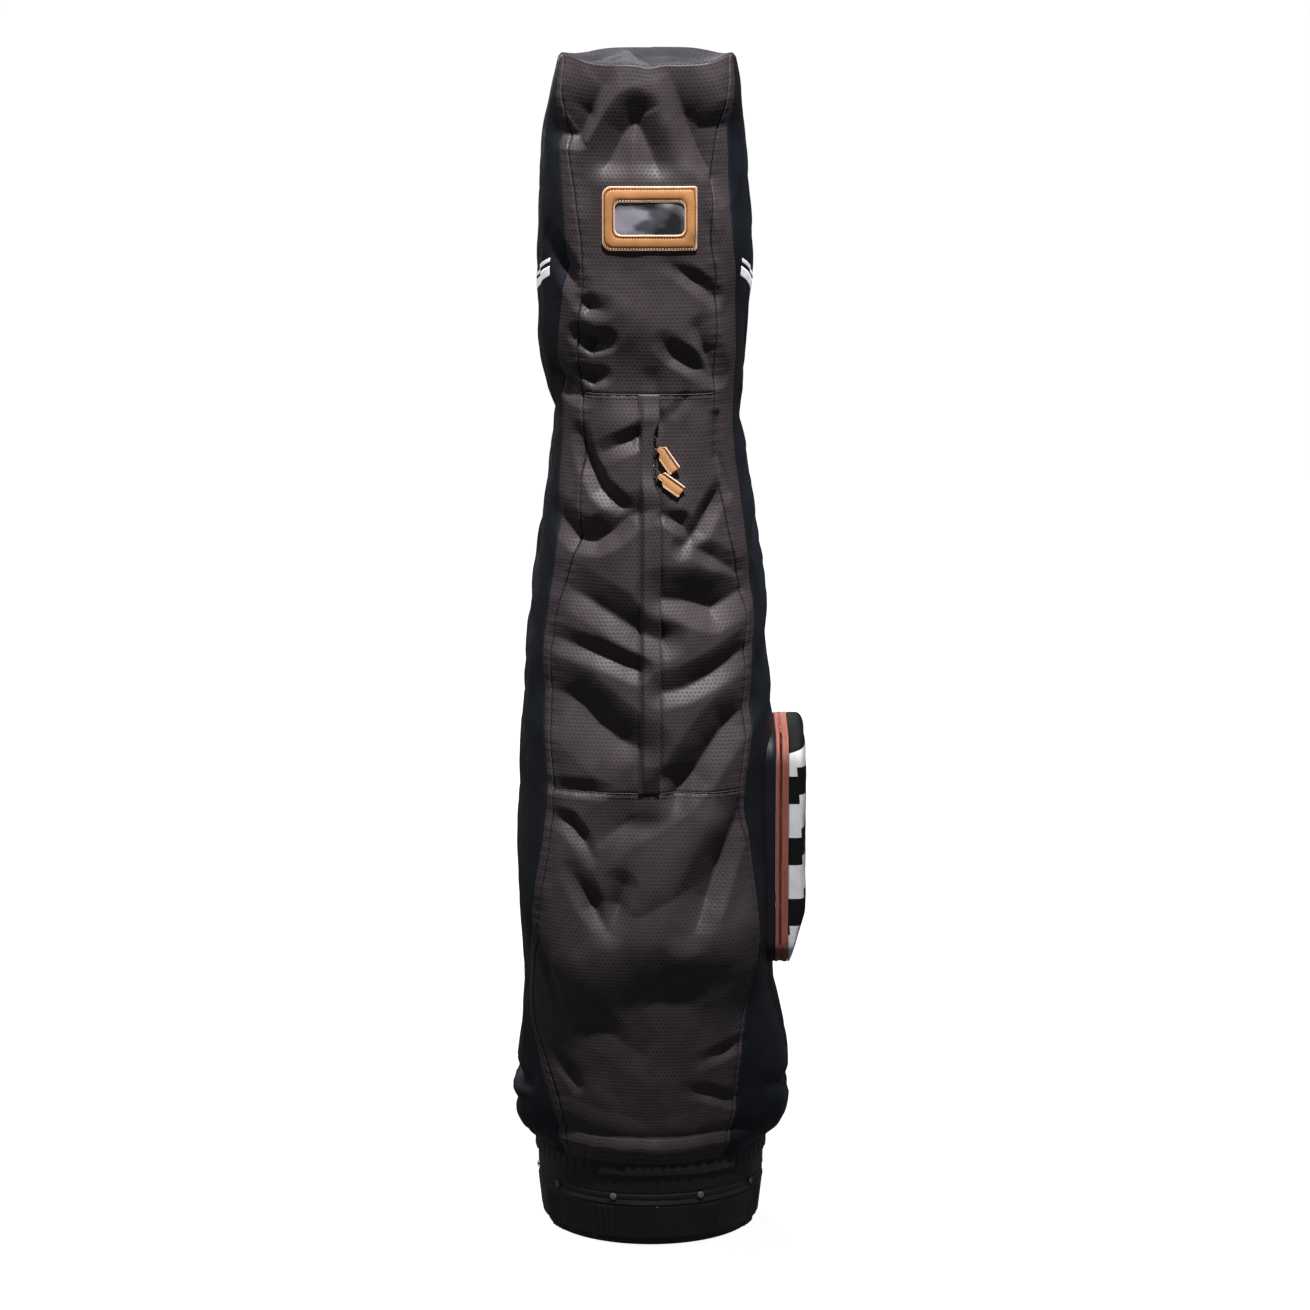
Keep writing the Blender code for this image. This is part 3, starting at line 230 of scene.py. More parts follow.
rng = np.random.default_rng(7)


def blend_table(table, height, column):
    """Cubic Hermite interpolation of one column, for an array of heights."""
    heights, values = table[:, 0], table[:, column]
    slopes = np.empty_like(values)
    slopes[1:-1] = (values[2:] - values[:-2]) / (heights[2:] - heights[:-2])
    slopes[0] = (values[1] - values[0]) / (heights[1] - heights[0])
    slopes[-1] = (values[-1] - values[-2]) / (heights[-1] - heights[-2])
    z = np.clip(height, heights[0], heights[-1])
    i = np.clip(np.searchsorted(heights, z, side="right") - 1, 0, len(heights) - 2)
    span = heights[i + 1] - heights[i]
    t = (z - heights[i]) / span
    return (
        (2 * t**3 - 3 * t**2 + 1) * values[i] + (t**3 - 2 * t**2 + t) * span * slopes[i]
        + (3 * t**2 - 2 * t**3) * values[i + 1] + (t**3 - t**2) * span * slopes[i + 1]
    )


def half_depth(z):
    share = (z - SEAM_LOW) / (SEAM_HIGH - SEAM_LOW)
    straight = ZIP_LOW_DEPTH + share * (ZIP_HIGH_DEPTH - ZIP_LOW_DEPTH)
    return np.where((share >= 0) & (share <= 1), straight, blend_table(COVER_SECTIONS, z, 3))


def half_width(z, right):
    return np.where(right, blend_table(COVER_SECTIONS, z, 2), blend_table(COVER_SECTIONS, z, 1))


def cover_surface(angle, z):
    """Points of the cover with no folds. The angle is 0 at the front and grows to the right."""
    angle, z = np.broadcast_arrays(np.asarray(angle, float), np.asarray(z, float))
    across, along = np.sin(angle), -np.cos(angle)
    power = blend_table(COVER_SECTIONS, z, 4)
    width, depth = half_width(z, across > 0), half_depth(z)
    reach = ((np.abs(across) / width) ** power + (np.abs(along) / depth) ** power) ** (-1 / power)
    return stacked(reach * across, reach * along, z)


def cover_normals(angle, z):
    step_a, step_z = 0.01, 0.002
    round_it = cover_surface(angle + step_a, z) - cover_surface(angle - step_a, z)
    low, high = np.maximum(z - step_z, COVER_BOTTOM), np.minimum(z + step_z, COVER_TOP)
    up_it = cover_surface(angle, high) - cover_surface(angle, low)
    return unit(np.cross(round_it, up_it))


ARC_ANGLES = np.linspace(-math.pi, math.pi, 721)


def arc_table(z):
    """Distance round the cover from the front's middle, at ARC_ANGLES, for one height."""
    lengths = lengths_along(cover_surface(ARC_ANGLES, z))
    return lengths - np.interp(0.0, ARC_ANGLES, lengths)


def wrapped(angle):
    return (angle + math.pi) % TAU - math.pi


def arc_of(angle, z):
    return float(np.interp(wrapped(angle), ARC_ANGLES, arc_table(z)))


def arcs(angle, z):
    """Distances round the cover for a grid with one height in each row. They pass pi smoothly."""
    made = np.empty_like(angle)
    for r, height in enumerate(z[:, 0]):
        table = arc_table(height)
        whole = table[-1] - table[0]
        turns = np.floor((angle[r] + math.pi) / TAU)
        made[r] = np.interp(angle[r] - turns * TAU, ARC_ANGLES, table) + turns * whole
    return made


def front_angle(x, z):
    """The angle of the front surface's point at x."""
    power = blend_table(COVER_SECTIONS, z, 4)
    share = np.minimum(np.abs(x) / half_width(z, np.asarray(x) > 0), 0.98)
    return np.arctan2(x, half_depth(z) * (1 - share**power) ** (1 / power))


def seam_angle(z, right, back=False):
    share = BACK_SEAM_SHARE if back else blend_table(SEAM_SHARES, z, 2 if right else 1)
    power = blend_table(COVER_SECTIONS, z, 4)
    x = share * half_width(z, right)
    y = half_depth(z) * (1 - share**power) ** (1 / power)
    angle = np.arctan2(x, -y if back else y)
    return angle if right else -angle


# ---------------------------------------------------------------- folds
def value_noise(x, y, seed):
    """Smooth noise from -1 to 1 on a plane."""
    def lattice(i, j):
        h = np.sin(i * 127.1 + j * 311.7 + seed * 74.7) * 43758.5453
        return 2 * (h - np.floor(h)) - 1

    i, j = np.floor(x), np.floor(y)
    u, v = x - i, y - j
    u, v = u * u * (3 - 2 * u), v * v * (3 - 2 * v)
    low = lattice(i, j) * (1 - u) + lattice(i + 1, j) * u
    high = lattice(i, j + 1) * (1 - u) + lattice(i + 1, j + 1) * u
    return low * (1 - v) + high * v


def random_folds():
    """Seeded buckles for the sides and back: slanting valleys that meet in diamonds."""
    made = []
    for heights, middles, slants, depths, halves, flanks, shift, drift, end in BUCKLES:
        for z in heights:
            for k, middle in enumerate(middles):
                lean = (1 if k % 2 else -1) * rng.uniform(*slants)
                depth, half = rng.uniform(*depths), rng.uniform(*halves)
                base, top = z, z
                if shift:
                    base = z + rng.uniform(-drift[0], drift[0]) + (shift if k % 2 else 0)
                    top = base + rng.uniform(-drift[1], drift[1])
                points = ((middle - half, base - lean, end), (middle, top, depth),
                          (middle + half, base + lean, end))
                made.append((points, rng.uniform(*flanks), rng.uniform(*flanks)))
    return made


def tube_half(z, axis):
    share = np.clip((z - TUBE_FOOT) / (CUFF_BOTTOM - TUBE_FOOT), 0, 1)
    return TUBE_R + share * (MOUTH[axis] - TUBE_R)


def room_inside(angle, z):
    """How deep a fold may be before it meets the bag."""
    cover = np.linalg.norm(cover_surface(angle, z)[..., :2], axis=-1)
    pockets = np.clip((0.66 - z) / 0.04, 0, 1) * 0.0080
    a, b = tube_half(z, 0) + pockets + 0.0030, tube_half(z, 1) + pockets + 0.0030
    bag = 1 / np.sqrt((np.sin(angle) / a) ** 2 + (np.cos(angle) / b) ** 2)
    bag = np.where(z < 0.135, 0.1245, bag)
    above = np.clip((z - 0.855) / 0.02, 0, 1)
    return np.clip((cover - bag - 0.0010) * (1 - above) + 0.020 * above, 0.0030, 0.020)


def fitted(points, shaded, lit):
    """A valley made shallower and narrower where the bag inside leaves less room."""
    angles, heights = np.array([p[3] for p in points]), np.array([p[1] for p in points])
    wanted = DEEPER * np.array([p[2] for p in points])
    share = np.minimum(room_inside(angles, heights) / np.maximum(wanted, 1e-6), 1)
    narrower = float(min(share)) ** 0.7
    made = [(p[0], p[1], float(d * k)) for p, d, k in zip(points, wanted, share)]
    return made, shaded * narrower, lit * narrower


def fold_lines():
    """Every valley as points (distance round, height, depth) in metres with its two flank widths."""
    lines = []
    for points, shaded, lit in FRONT_FOLDS:
        made = []
        for x, z, depth in points:
            angle = float(front_angle(x / 1000, z / 1000))
            made.append((arc_of(angle, z / 1000), z / 1000, depth / 1000, angle))
        lines.append(fitted(made, shaded / 1000, lit / 1000))
    for points, shaded, lit in list(SIDE_FOLDS) + random_folds():
        made = []
        for degrees, z, depth in points:
            angle = math.radians(degrees)
            table = arc_table(z / 1000)
            turns = math.floor((angle + math.pi) / TAU)
            arc = arc_of(angle, z / 1000) + turns * (table[-1] - table[0])
            made.append((arc, z / 1000, depth / 1000, angle))
        lines.append(fitted(made, shaded / 1000, lit / 1000))
    return lines


def valley(s, z, points, shaded, lit):
    """Depth of one valley over the cloth."""
    best = np.full(s.shape, np.inf)
    side, depth = np.zeros(s.shape), np.zeros(s.shape)
    for (s0, z0, d0), (s1, z1, d1) in zip(points, points[1:]):
        ds, dz = s1 - s0, z1 - z0
        squared = ds * ds + dz * dz
        t = np.clip(((s - s0) * ds + (z - z0) * dz) / squared, 0, 1)
        off_s, off_z = s - s0 - t * ds, z - z0 - t * dz
        distance = np.hypot(off_s, off_z)
        left = (off_z * ds - off_s * dz) / (math.sqrt(squared) * np.maximum(distance, 1e-9))
        nearer = distance < best
        best = np.where(nearer, distance, best)
        side = np.where(nearer, left, side)
        depth = np.where(nearer, d0 + t * (d1 - d0), depth)
    width = lit + (shaded - lit) * (0.5 + 0.5 * side)
    t = np.maximum(1 - (np.hypot(best, CREASE) - CREASE) / width, 0)
    return depth * t**1.2


def bulges(s, z):
    """How far the rounded ridges of the front stand out."""
    total = np.zeros(s.shape)
    for (s0, z0), (s1, z1), rise, reach in RIDGES:
        ds, dz = s1 - s0, z1 - z0
        t = np.clip(((s * 1000 - s0) * ds + (z * 1000 - z0) * dz) / (ds * ds + dz * dz), 0, 1)
        away = np.hypot(s * 1000 - s0 - t * ds, z * 1000 - z0 - t * dz)
        total = np.maximum(total, rise / 1000 * hump(away, reach))
    return total


def mask_box(s, z, low_s, high_s, low_z, high_z, fade):
    """0 inside a box on the cloth, rising to 1 at the fade distance from it."""
    out_s = np.maximum(np.maximum(low_s - s, s - high_s), 0)
    out_z = np.maximum(np.maximum(low_z - z, z - high_z), 0)
    return smooth(np.hypot(out_s, out_z) / fade)


def fold_depth(angle, z, s, by_zip=True):
    """How far the cloth lies inside the cover's plain form."""
    total = np.zeros(s.shape)
    for points, shaded, lit in FOLD_LINES:
        reach = 1.3 * max(shaded, lit) + 0.004
        low_s, high_s = min(p[0] for p in points) - reach, max(p[0] for p in points) + reach
        low_z, high_z = min(p[1] for p in points) - reach, max(p[1] for p in points) + reach
        near = (s > low_s) & (s < high_s) & (z > low_z) & (z < high_z)
        if near.any():
            total[near] += np.maximum(valley(s[near], z[near], points, shaded, lit), 0) ** FOLD_POWER
    total = total ** (1 / FOLD_POWER)
    front = np.clip((np.cos(angle) - 0.25) / 0.3, 0, 1)
    slack = value_noise(s / 0.045 + z / 0.10, z / 0.060 - s / 0.09, 3)
    small = value_noise(s / 0.014 - z / 0.05, z / 0.024 + s / 0.05, 1)
    ridged = (1 - np.abs(value_noise(s / 0.05 - z / 0.09, z / 0.055 + s / 0.10, 4))) ** 3
    total = total + 0.0016 * slack + 0.0005 * small + 0.0016 * (1 - 0.7 * front) * ridged
    half_w, half_h = WINDOW_FRAME[0] / 2 + 0.001, WINDOW_FRAME[1] / 2 + 0.001
    low, high = WINDOW_CENTRE[1] - half_h, WINDOW_CENTRE[1] + half_h
    total = total * mask_box(s, z, -half_w, half_w, low, high, 0.026)
    middle = 0.5 * (arc_of(math.radians(62), 0.42) + arc_of(math.radians(118), 0.42))
    left, right = middle - POCKET_HALF_ROUND, middle + POCKET_HALF_ROUND
    total = total * mask_box(s, z, left, right, POCKET_BOTTOM, POCKET_TOP, 0.030)
    total = total - bulges(s, z) * front
    if by_zip:
        past_end = np.maximum(SEAM_LOW - 0.004 - z, z - SEAM_HIGH - 0.004)
        total = total * (1 - smooth(1 - past_end / 0.028) * hump(s, 0.0085, 4))
    at_pulls = hump(s - PULLS_S, 0.022) * hump(z - PULLS_Z, PULLS_REACH, 4)
    flap_foot = 0.85 * hump(s, 0.024, 4) * hump(z - SEAM_LOW + 0.008, 0.024, 4)
    total = total * (1 - at_pulls) * (1 - flap_foot)
    # A soft limit where the bag inside leaves no room.
    over = total - room_inside(angle, z) - 0.0005
    total = total - 0.5 * (over + np.sqrt(over * over + 0.0012**2))
    return np.maximum(total, -MOST_OUTWARD) + lower_sag(angle, z)


def lower_sag(angle, z):
    """Below its fullest height the front of the cover falls in towards the hem."""
    front = np.clip((np.cos(angle) - 0.35) / 0.4, 0, 1)
    down = np.clip((0.343 - z + 0.03 * np.abs(wrapped(angle))) / 0.20, 0, 1)
    at_hem = np.clip((z - COVER_BOTTOM) / 0.022, 0, 1)
    bulge = 0.0035 * hump(z - 0.375, 0.060)
    return front * (0.0185 * down**1.2 * at_hem - bulge)


def corner_lift(angle, z):
    """The crown's corners stand a little higher than its middle."""
    near_top = np.clip((z - 1.17) / (COVER_TOP - 1.17), 0, 1) ** 2
    a = wrapped(angle)
    front_corners = hump(np.abs(a) - 0.80, 0.19)
    back_corners = hump(np.abs(a) - 2.40, 0.25)
    notch = hump(a + 0.02, 0.10)
    return near_top * (0.0085 * front_corners - 0.0045 * back_corners + 0.0045 - 0.0030 * notch)


def cloth_points(angle, z, s, outside=0.0):
    """Points of the folded cloth for grids of angles, heights and distances round."""
    gather = hump(z - COVER_BOTTOM, 0.020)
    pleats = value_noise(s / 0.011, z * 0, 5) + 0.4 * value_noise(s / 0.005, z * 0, 6)
    depth = fold_depth(angle, z, s) + gather * 0.0013 * (pleats + 1)
    height = outside + zip_lift(s, z) - depth
    points = cover_surface(angle, z) + cover_normals(angle, z) * height[..., None]
    points[..., 2] += corner_lift(angle, z)
    return points


FOLD_LINES = fold_lines()


# ---------------------------------------------------------------- mesh helpers
def new_object(name, vertices, faces, uvs=None):
    """A smooth mesh object from arrays. uvs holds one pair per vertex."""
    mesh = bpy.data.meshes.new(name)
    vertices = np.asarray(vertices, np.float64).reshape(-1, 3)
    mesh.from_pydata(vertices.tolist(), [], faces)
    if uvs is not None:
        layer = mesh.uv_layers.new(name="UVMap")
        loops = np.empty(len(mesh.loops), np.int64)
        mesh.loops.foreach_get("vertex_index", loops)
        layer.data.foreach_set("uv", np.asarray(uvs, np.float32).reshape(-1, 2)[loops].ravel())
    mesh.shade_smooth()
    obj = bpy.data.objects.new(name, mesh)
    bpy.context.scene.collection.objects.link(obj)
    return obj


def grid_faces(rows, columns, wrap=False):
    """Quads of a grid of vertices, whose outside is that of columns to the right and rows up."""
    steps = columns if wrap else columns - 1
    r, c = np.meshgrid(np.arange(rows - 1), np.arange(steps), indexing="ij")
    d = (c + 1) % columns
    low, high = r * columns, (r + 1) * columns
    return stacked(low + c, low + d, high + d, high + c).reshape(-1, 4).tolist()


def caps(rows, columns):
    """The two end faces of a closed tube of vertices."""
    return [list(range(columns))[::-1], [(rows - 1) * columns + c for c in range(columns)]]


def grid_object(name, points, uvs):
    return new_object(name, points, grid_faces(*points.shape[:2]), uvs)


def thicken(obj, thickness):
    """Gives a sheet its thickness, inwards."""
    modifier = obj.modifiers.new("Cloth thickness", "SOLIDIFY")
    modifier.thickness = thickness
    modifier.offset = -1.0
    modifier.use_even_offset = False


def place(obj, material, body, *nodes, slot=None):
    """Gives a piece its material, its body and the CAD nodes that it stands for. The slot is not used."""
    obj.data.materials.clear()
    obj.data.materials.append(material)
    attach(obj, body)
    if nodes:
        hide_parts(*nodes)


def tube_object(name, path, radius, sides=8, closed=False):
    """A round cord along a path of points."""
    path = np.asarray(path, float)
    if closed:
        tangents = unit(np.roll(path, -1, axis=0) - np.roll(path, 1, axis=0))
    else:
        tangents = unit(np.gradient(path, axis=0))
    side = np.cross(tangents[0], (0.0, 0.0, 1.0))
    if np.linalg.norm(side) < 1e-3:
        side = np.cross(tangents[0], (1.0, 0.0, 0.0))
    count = len(path)
    rings = np.empty((count, sides, 3))
    turn = full_turn(sides)[:, None]
    for k, tangent in enumerate(tangents):
        side = side - tangent * np.dot(side, tangent)
        side /= np.linalg.norm(side)
        rings[k] = path[k] + radius * (np.cos(turn) * side + np.sin(turn) * np.cross(tangent, side))
    faces = grid_faces(count + closed, sides, wrap=True)
    if closed:
        faces = [[v % (count * sides) for v in face] for face in faces]
    else:
        faces += caps(count, sides)
    return fix_normals(new_object(name, rings, faces))


def fix_normals(obj):
    bm = bmesh.new()
    bm.from_mesh(obj.data)
    bmesh.ops.recalc_face_normals(bm, faces=bm.faces)
    bm.to_mesh(obj.data)
    bm.free()
    return obj


def lofted(name, loops, ring=False, smooth_angle=40):
    """A solid through closed loops of points. A ring joins its last loop to its first."""
    loops = np.asarray(loops, float)
    rows, columns = loops.shape[:2]
    faces = grid_faces(rows, columns, wrap=True)
    if ring:
        last = (rows - 1) * columns
        faces += [[last + c, last + (c + 1) % columns, (c + 1) % columns, c] for c in range(columns)]
    else:
        faces += caps(rows, columns)
    obj = fix_normals(new_object(name, loops, faces))
    obj.data.set_sharp_from_angle(angle=math.radians(smooth_angle))
    return obj


def stitches(name, centres, directions, normals, length=0.0026, radius=0.00032):
    """A row of thread stitches, each a short bent capsule, as one piece."""
    sides, steps = 6, 5
    turn = full_turn(sides)
    shape = grid_faces(steps, sides, wrap=True) + caps(steps, sides)
    vertices, faces = [], []
    for centre, along, normal in zip(centres, directions, normals):
        along = along / np.linalg.norm(along)
        across = np.cross(along, normal)
        first = len(vertices)
        for k in range(steps):
            t = k / (steps - 1) * 2 - 1
            thin = math.sqrt(max(1 - t * t, 0.0)) * 0.75 + 0.25
            middle = centre + along * t * length / 2 + normal * (radius * 0.8 - t * t * radius * 1.5)
            for a in turn:
                vertices.append(middle + radius * thin * (math.cos(a) * across + math.sin(a) * normal))
        faces += [[v + first for v in face] for face in shape]
    return fix_normals(new_object(name, vertices, faces))


def stitch_path(name, path, normals, pitch=0.0036, closed=False, **sizes):
    """Stitches laid along a path of points with a normal at each."""
    path, normals = np.asarray(path, float), np.asarray(normals, float)
    if closed:
        path, normals = np.vstack((path, path[:1])), np.vstack((normals, normals[:1]))
    lengths = lengths_along(path)
    count = max(int(lengths[-1] / pitch), 1)
    where = (np.arange(count) + 0.5) * lengths[-1] / count
    step = pitch * 0.2
    directions = spread(where + step, lengths, path) - spread(where - step, lengths, path)
    return stitches(name, spread(where, lengths, path), directions,
                    unit(spread(where, lengths, normals)), **sizes)


# ---------------------------------------------------------------- materials
class Paint:
    """A small helper that builds one Principled material from nodes."""

    def __init__(self, name, **settings):
        self.material = bpy.data.materials.new(name)
        self.material.use_nodes = True
        self.tree = self.material.node_tree
        self.shader = self.tree.nodes["Principled BSDF"]
        for key, value in settings.items():
            self.shader.inputs[key.replace("_", " ")].default_value = value

    def feed(self, socket, value):
        """Links a socket to another, or sets its value."""
        if isinstance(value, bpy.types.NodeSocket):
            self.tree.links.new(value, socket)
        else:
            socket.default_value = value

    def node(self, kind, inputs=None, **settings):
        """A new node with its settings and its inputs."""
        made = self.tree.nodes.new("ShaderNode" + kind)
        for key, value in settings.items():
            setattr(made, key, value)
        for key, value in (inputs or {}).items():
            self.feed(made.inputs[key], value)
        return made

    def math(self, operation, *values):
        return self.node("Math", dict(enumerate(values)), operation=operation).outputs[0]

    def vector_math(self, operation, inputs):
        return self.node("VectorMath", inputs, operation=operation).outputs[0]

    def x_and_y(self, vector):
        parts = self.node("SeparateXYZ", {0: vector})
        return parts.outputs["X"], parts.outputs["Y"]

    def coordinates(self, kind="Object", scale=(1, 1, 1), rotation=(0, 0, 0)):
        source = self.node("TexCoord").outputs[kind]
        return self.node("Mapping", {"Vector": source, "Scale": scale, "Rotation": rotation}).outputs[0]

    def noise(self, where, scale, detail=3.0, roughness=0.5):
        inputs = {"Vector": where, "Scale": scale, "Detail": detail, "Roughness": roughness}
        return self.node("TexNoise", inputs).outputs["Fac"]

    def wave(self, where, scale, direction="DIAGONAL", distortion=0.0):
        inputs = {"Vector": where, "Scale": scale, "Distortion": distortion}
        return self.node("TexWave", inputs, wave_type="BANDS", bands_direction=direction).outputs["Fac"]

    def weave(self, where, scale):
        """Warp crossed with weft."""
        return self.math("MULTIPLY", self.wave(where, scale, "X"), self.wave(where, scale, "Y"))

    def ramp(self, value, stops):
        made = self.node("ValToRGB", {"Fac": value})
        elements = made.color_ramp.elements
        while len(elements) < len(stops):
            elements.new(0.5)
        for element, (position, colour) in zip(elements, stops):
            element.position = position
            element.color = (*colour, 1.0)
        return made.outputs["Color"]

    def tones(self, value, colour, dark, light, start=0.3, end=0.7):
        """From a darker to a lighter shade of one colour."""
        return self.ramp(value, ((start, shade(colour, dark)), (end, shade(colour, light))))

    def mix(self, a, b, factor=1.0, blend="MULTIPLY"):
        inputs = {"Factor": factor, "A": a, "B": b}
        return self.node("Mix", inputs, data_type="RGBA", blend_type=blend).outputs["Result"]

    def range(self, value, low, high):
        return self.node("MapRange", {"Value": value, "To Min": low, "To Max": high}).outputs["Result"]

    def bump(self, height, distance, strength, after=None):
        """Adds a bump, on top of an earlier one where that is given."""
        made = self.node("Bump", {"Height": height, "Distance": distance, "Strength": strength})
        if after:
            self.feed(made.inputs["Normal"], after)
        self.feed(self.shader.inputs["Normal"], made.outputs[0])
        return made.outputs[0]

    def finish(self, colour, roughness):
        self.feed(self.shader.inputs["Base Color"], colour)
        self.feed(self.shader.inputs["Roughness"], roughness)
        return self.material


def shade(colour, factor):
    return tuple(c * factor for c in colour)


def hexagon_distance(paint, where, pitch):
    """0 at a honeycomb cell's middle and 0.5 at its walls."""
    scaled = paint.vector_math("SCALE", {0: where, "Scale": 1 / pitch})
    half = (0.5, math.sqrt(3) / 2, 0.5)

    def cell(shift):
        moved = paint.vector_math("SUBTRACT", {0: scaled, 1: shift})
        wrap = paint.vector_math("WRAP", {0: moved, 1: half, 2: tuple(-h for h in half)})
        x, y = paint.x_and_y(paint.vector_math("ABSOLUTE", {0: wrap}))
        halved, leant = paint.math("MULTIPLY", x, 0.5), paint.math("MULTIPLY", y, math.sqrt(3) / 2)
        return paint.math("MAXIMUM", x, paint.math("ADD", halved, leant))

    return paint.math("MINIMUM", cell((0, 0, 0)), cell(half))


def honeycomb_cloth(name, colour, roughness):
    """Nylon dobby: raised shiny threads round small dull cells."""
    paint = Paint(name, Specular_IOR_Level=0.32)
    uv = paint.coordinates("UV")
    inputs = {"Value": hexagon_distance(paint, uv, HONEYCOMB_PITCH), "From Min": 0.22, "From Max": 0.42}
    threads = paint.node("MapRange", inputs, interpolation_type="SMOOTHSTEP").outputs["Result"]
    cloud = paint.ramp(paint.noise(uv, 34, 2), ((0.35, (0.86, 0.86, 0.88)), (0.65, (1.1, 1.08, 1.06))))
    first = paint.bump(paint.wave(uv, 900), 0.00003, 0.6)
    second = paint.bump(threads, 0.00018, 0.6, after=first)
    paint.bump(paint.noise(uv, 210, 3), 0.00025, 0.5, after=second)
    return paint.finish(paint.mix(paint.tones(threads, colour, 0.72, 1.08, 0.0, 1.0), cloud),
                        paint.range(threads, roughness + 0.12, roughness))


def plain_cloth(name, colour, roughness, weave_scale=1400, specular=0.4):
    paint = Paint(name, Specular_IOR_Level=specular)
    uv = paint.coordinates("UV")
    first = paint.bump(paint.weave(uv, weave_scale), 0.00008, 0.6)
    paint.bump(paint.noise(uv, 170, 3), 0.0003, 0.5, after=first)
    return paint.finish(paint.tones(paint.noise(uv, 30, 3), colour, 0.85, 1.15),
                        paint.range(paint.noise(uv, 90, 2), roughness - 0.05, roughness + 0.06))


def leather(name, colour, roughness, grain=900, depth=0.00022):
    paint = Paint(name, Specular_IOR_Level=0.45, Coat_Weight=0.06, Coat_Roughness=0.35)
    where = paint.coordinates()
    cells = paint.node("TexVoronoi", {"Vector": where, "Scale": grain}, feature="DISTANCE_TO_EDGE")
    blotches = paint.noise(where, 60, 4)
    first = paint.bump(paint.range(cells.outputs["Distance"], 0.0, 1.0), depth, 0.55)
    paint.bump(paint.noise(where, 240, 3), 0.0003, 0.35, after=first)
    stops = ((0.25, shade(colour, 0.80)), (0.5, colour), (0.8, shade(colour, 1.16)))
    return paint.finish(paint.ramp(blotches, stops),
                        paint.range(blotches, roughness + 0.08, roughness - 0.05))


def moulded(name, colour, roughness, grain=1500):
    paint = Paint(name, Specular_IOR_Level=0.5)
    where = paint.coordinates()
    paint.bump(paint.noise(where, grain, 2), 0.00012, 0.5)
    return paint.finish(paint.tones(paint.noise(where, 25, 4), colour, 0.85, 1.2),
                        paint.range(paint.noise(where, 45, 3), roughness - 0.06, roughness + 0.08))


def metal(name, colour, roughness, brush=(1, 1, 1)):
    paint = Paint(name, Metallic=1.0)
    streaks = paint.noise(paint.coordinates(scale=brush), 700, 3)
    paint.bump(streaks, 0.00003, 0.4)
    return paint.finish(paint.tones(streaks, colour, 0.86, 1.08),
                        paint.range(streaks, roughness - 0.06, roughness + 0.1))


def woven_tape(name, colour, pitch=0.0011):
    """Herringbone zip tape."""
    paint = Paint(name, Sheen_Weight=0.15, Sheen_Roughness=0.4)
    where = paint.coordinates()
    wave = paint.wave(where, 0.35 / pitch, distortion=0.6)
    fade = paint.noise(where, 70, 3)
    paint.bump(wave, 0.00025, 0.7)
    return paint.finish(paint.mix(paint.tones(wave, colour, 0.75, 1.2, 0.0, 1.0),
                                  paint.tones(fade, (1, 1, 1), 0.85, 1.1)),
                        paint.range(fade, 0.55, 0.7))


def clear_vinyl():
    """A clear pane over a dark card, with soft pale reflections and haze painted into its colour."""
    paint = Paint("clear_vinyl", Coat_Weight=1.0, Coat_Roughness=0.04)
    where = paint.coordinates(scale=(1.0, 1.0, 1.6), rotation=(0, math.radians(32), 0))
    paint.bump(paint.noise(where, 40, 2), 0.0012, 0.35)
    # The pale stops of this ramp are painted reflections.
    stops = ((0.40, (0.022, 0.021, 0.024)), (0.50, (0.10, 0.10, 0.12)), (0.60, (0.34, 0.33, 0.38)))
    return paint.finish(paint.ramp(paint.noise(where, 26, 2, 0.45), stops), 0.22)


def striped_canvas():
    """Black and white stripes that climb in steps round the side pocket's front."""
    top, start, lean = 0.5466, 0.0055, 0.10
    step_width, step_rise = 0.024, 0.0100
    stripe_pitch, white_share = 0.0670, 0.552
    white_below, black_above = 0.3300, 0.5420
    paint = Paint("striped_canvas", Specular_IOR_Level=0.2)
    uv = paint.node("TexCoord").outputs["UV"]
    x, y = paint.x_and_y(uv)
    leant = paint.math("MULTIPLY", paint.math("SUBTRACT", y, top), lean)
    across = paint.math("SUBTRACT", paint.math("ADD", x, leant), start)
    column = paint.math("FLOOR", paint.math("DIVIDE", across, step_width))
    step = paint.math("MULTIPLY", paint.math("ADD", column, 1.0), step_rise)
    down = paint.math("ADD", paint.math("SUBTRACT", top, y), step)
    stripes = paint.math("DIVIDE", paint.math("ADD", down, 10 * stripe_pitch), stripe_pitch)
    white = paint.math("LESS_THAN", paint.math("FRACT", stripes), white_share)
    white = paint.math("MAXIMUM", white, paint.math("LESS_THAN", y, white_below))
    pattern = paint.math("MULTIPLY", white, paint.math("LESS_THAN", y, black_above))
    cloud = paint.noise(uv, 60, 3)
    black = paint.ramp(cloud, ((0.3, (0.003, 0.003, 0.0035)), (0.7, (0.006, 0.0055, 0.006))))
    pale = paint.ramp(cloud, ((0.3, (0.80, 0.79, 0.82)), (0.7, (0.92, 0.91, 0.94))))
    first = paint.bump(paint.weave(uv, 500), 0.0002, 0.6)
    paint.bump(paint.noise(uv, 80, 2), 0.0006, 0.4, after=first)
    return paint.finish(paint.mix(black, pale, pattern, "MIX"), paint.range(cloud, 0.6, 0.75))


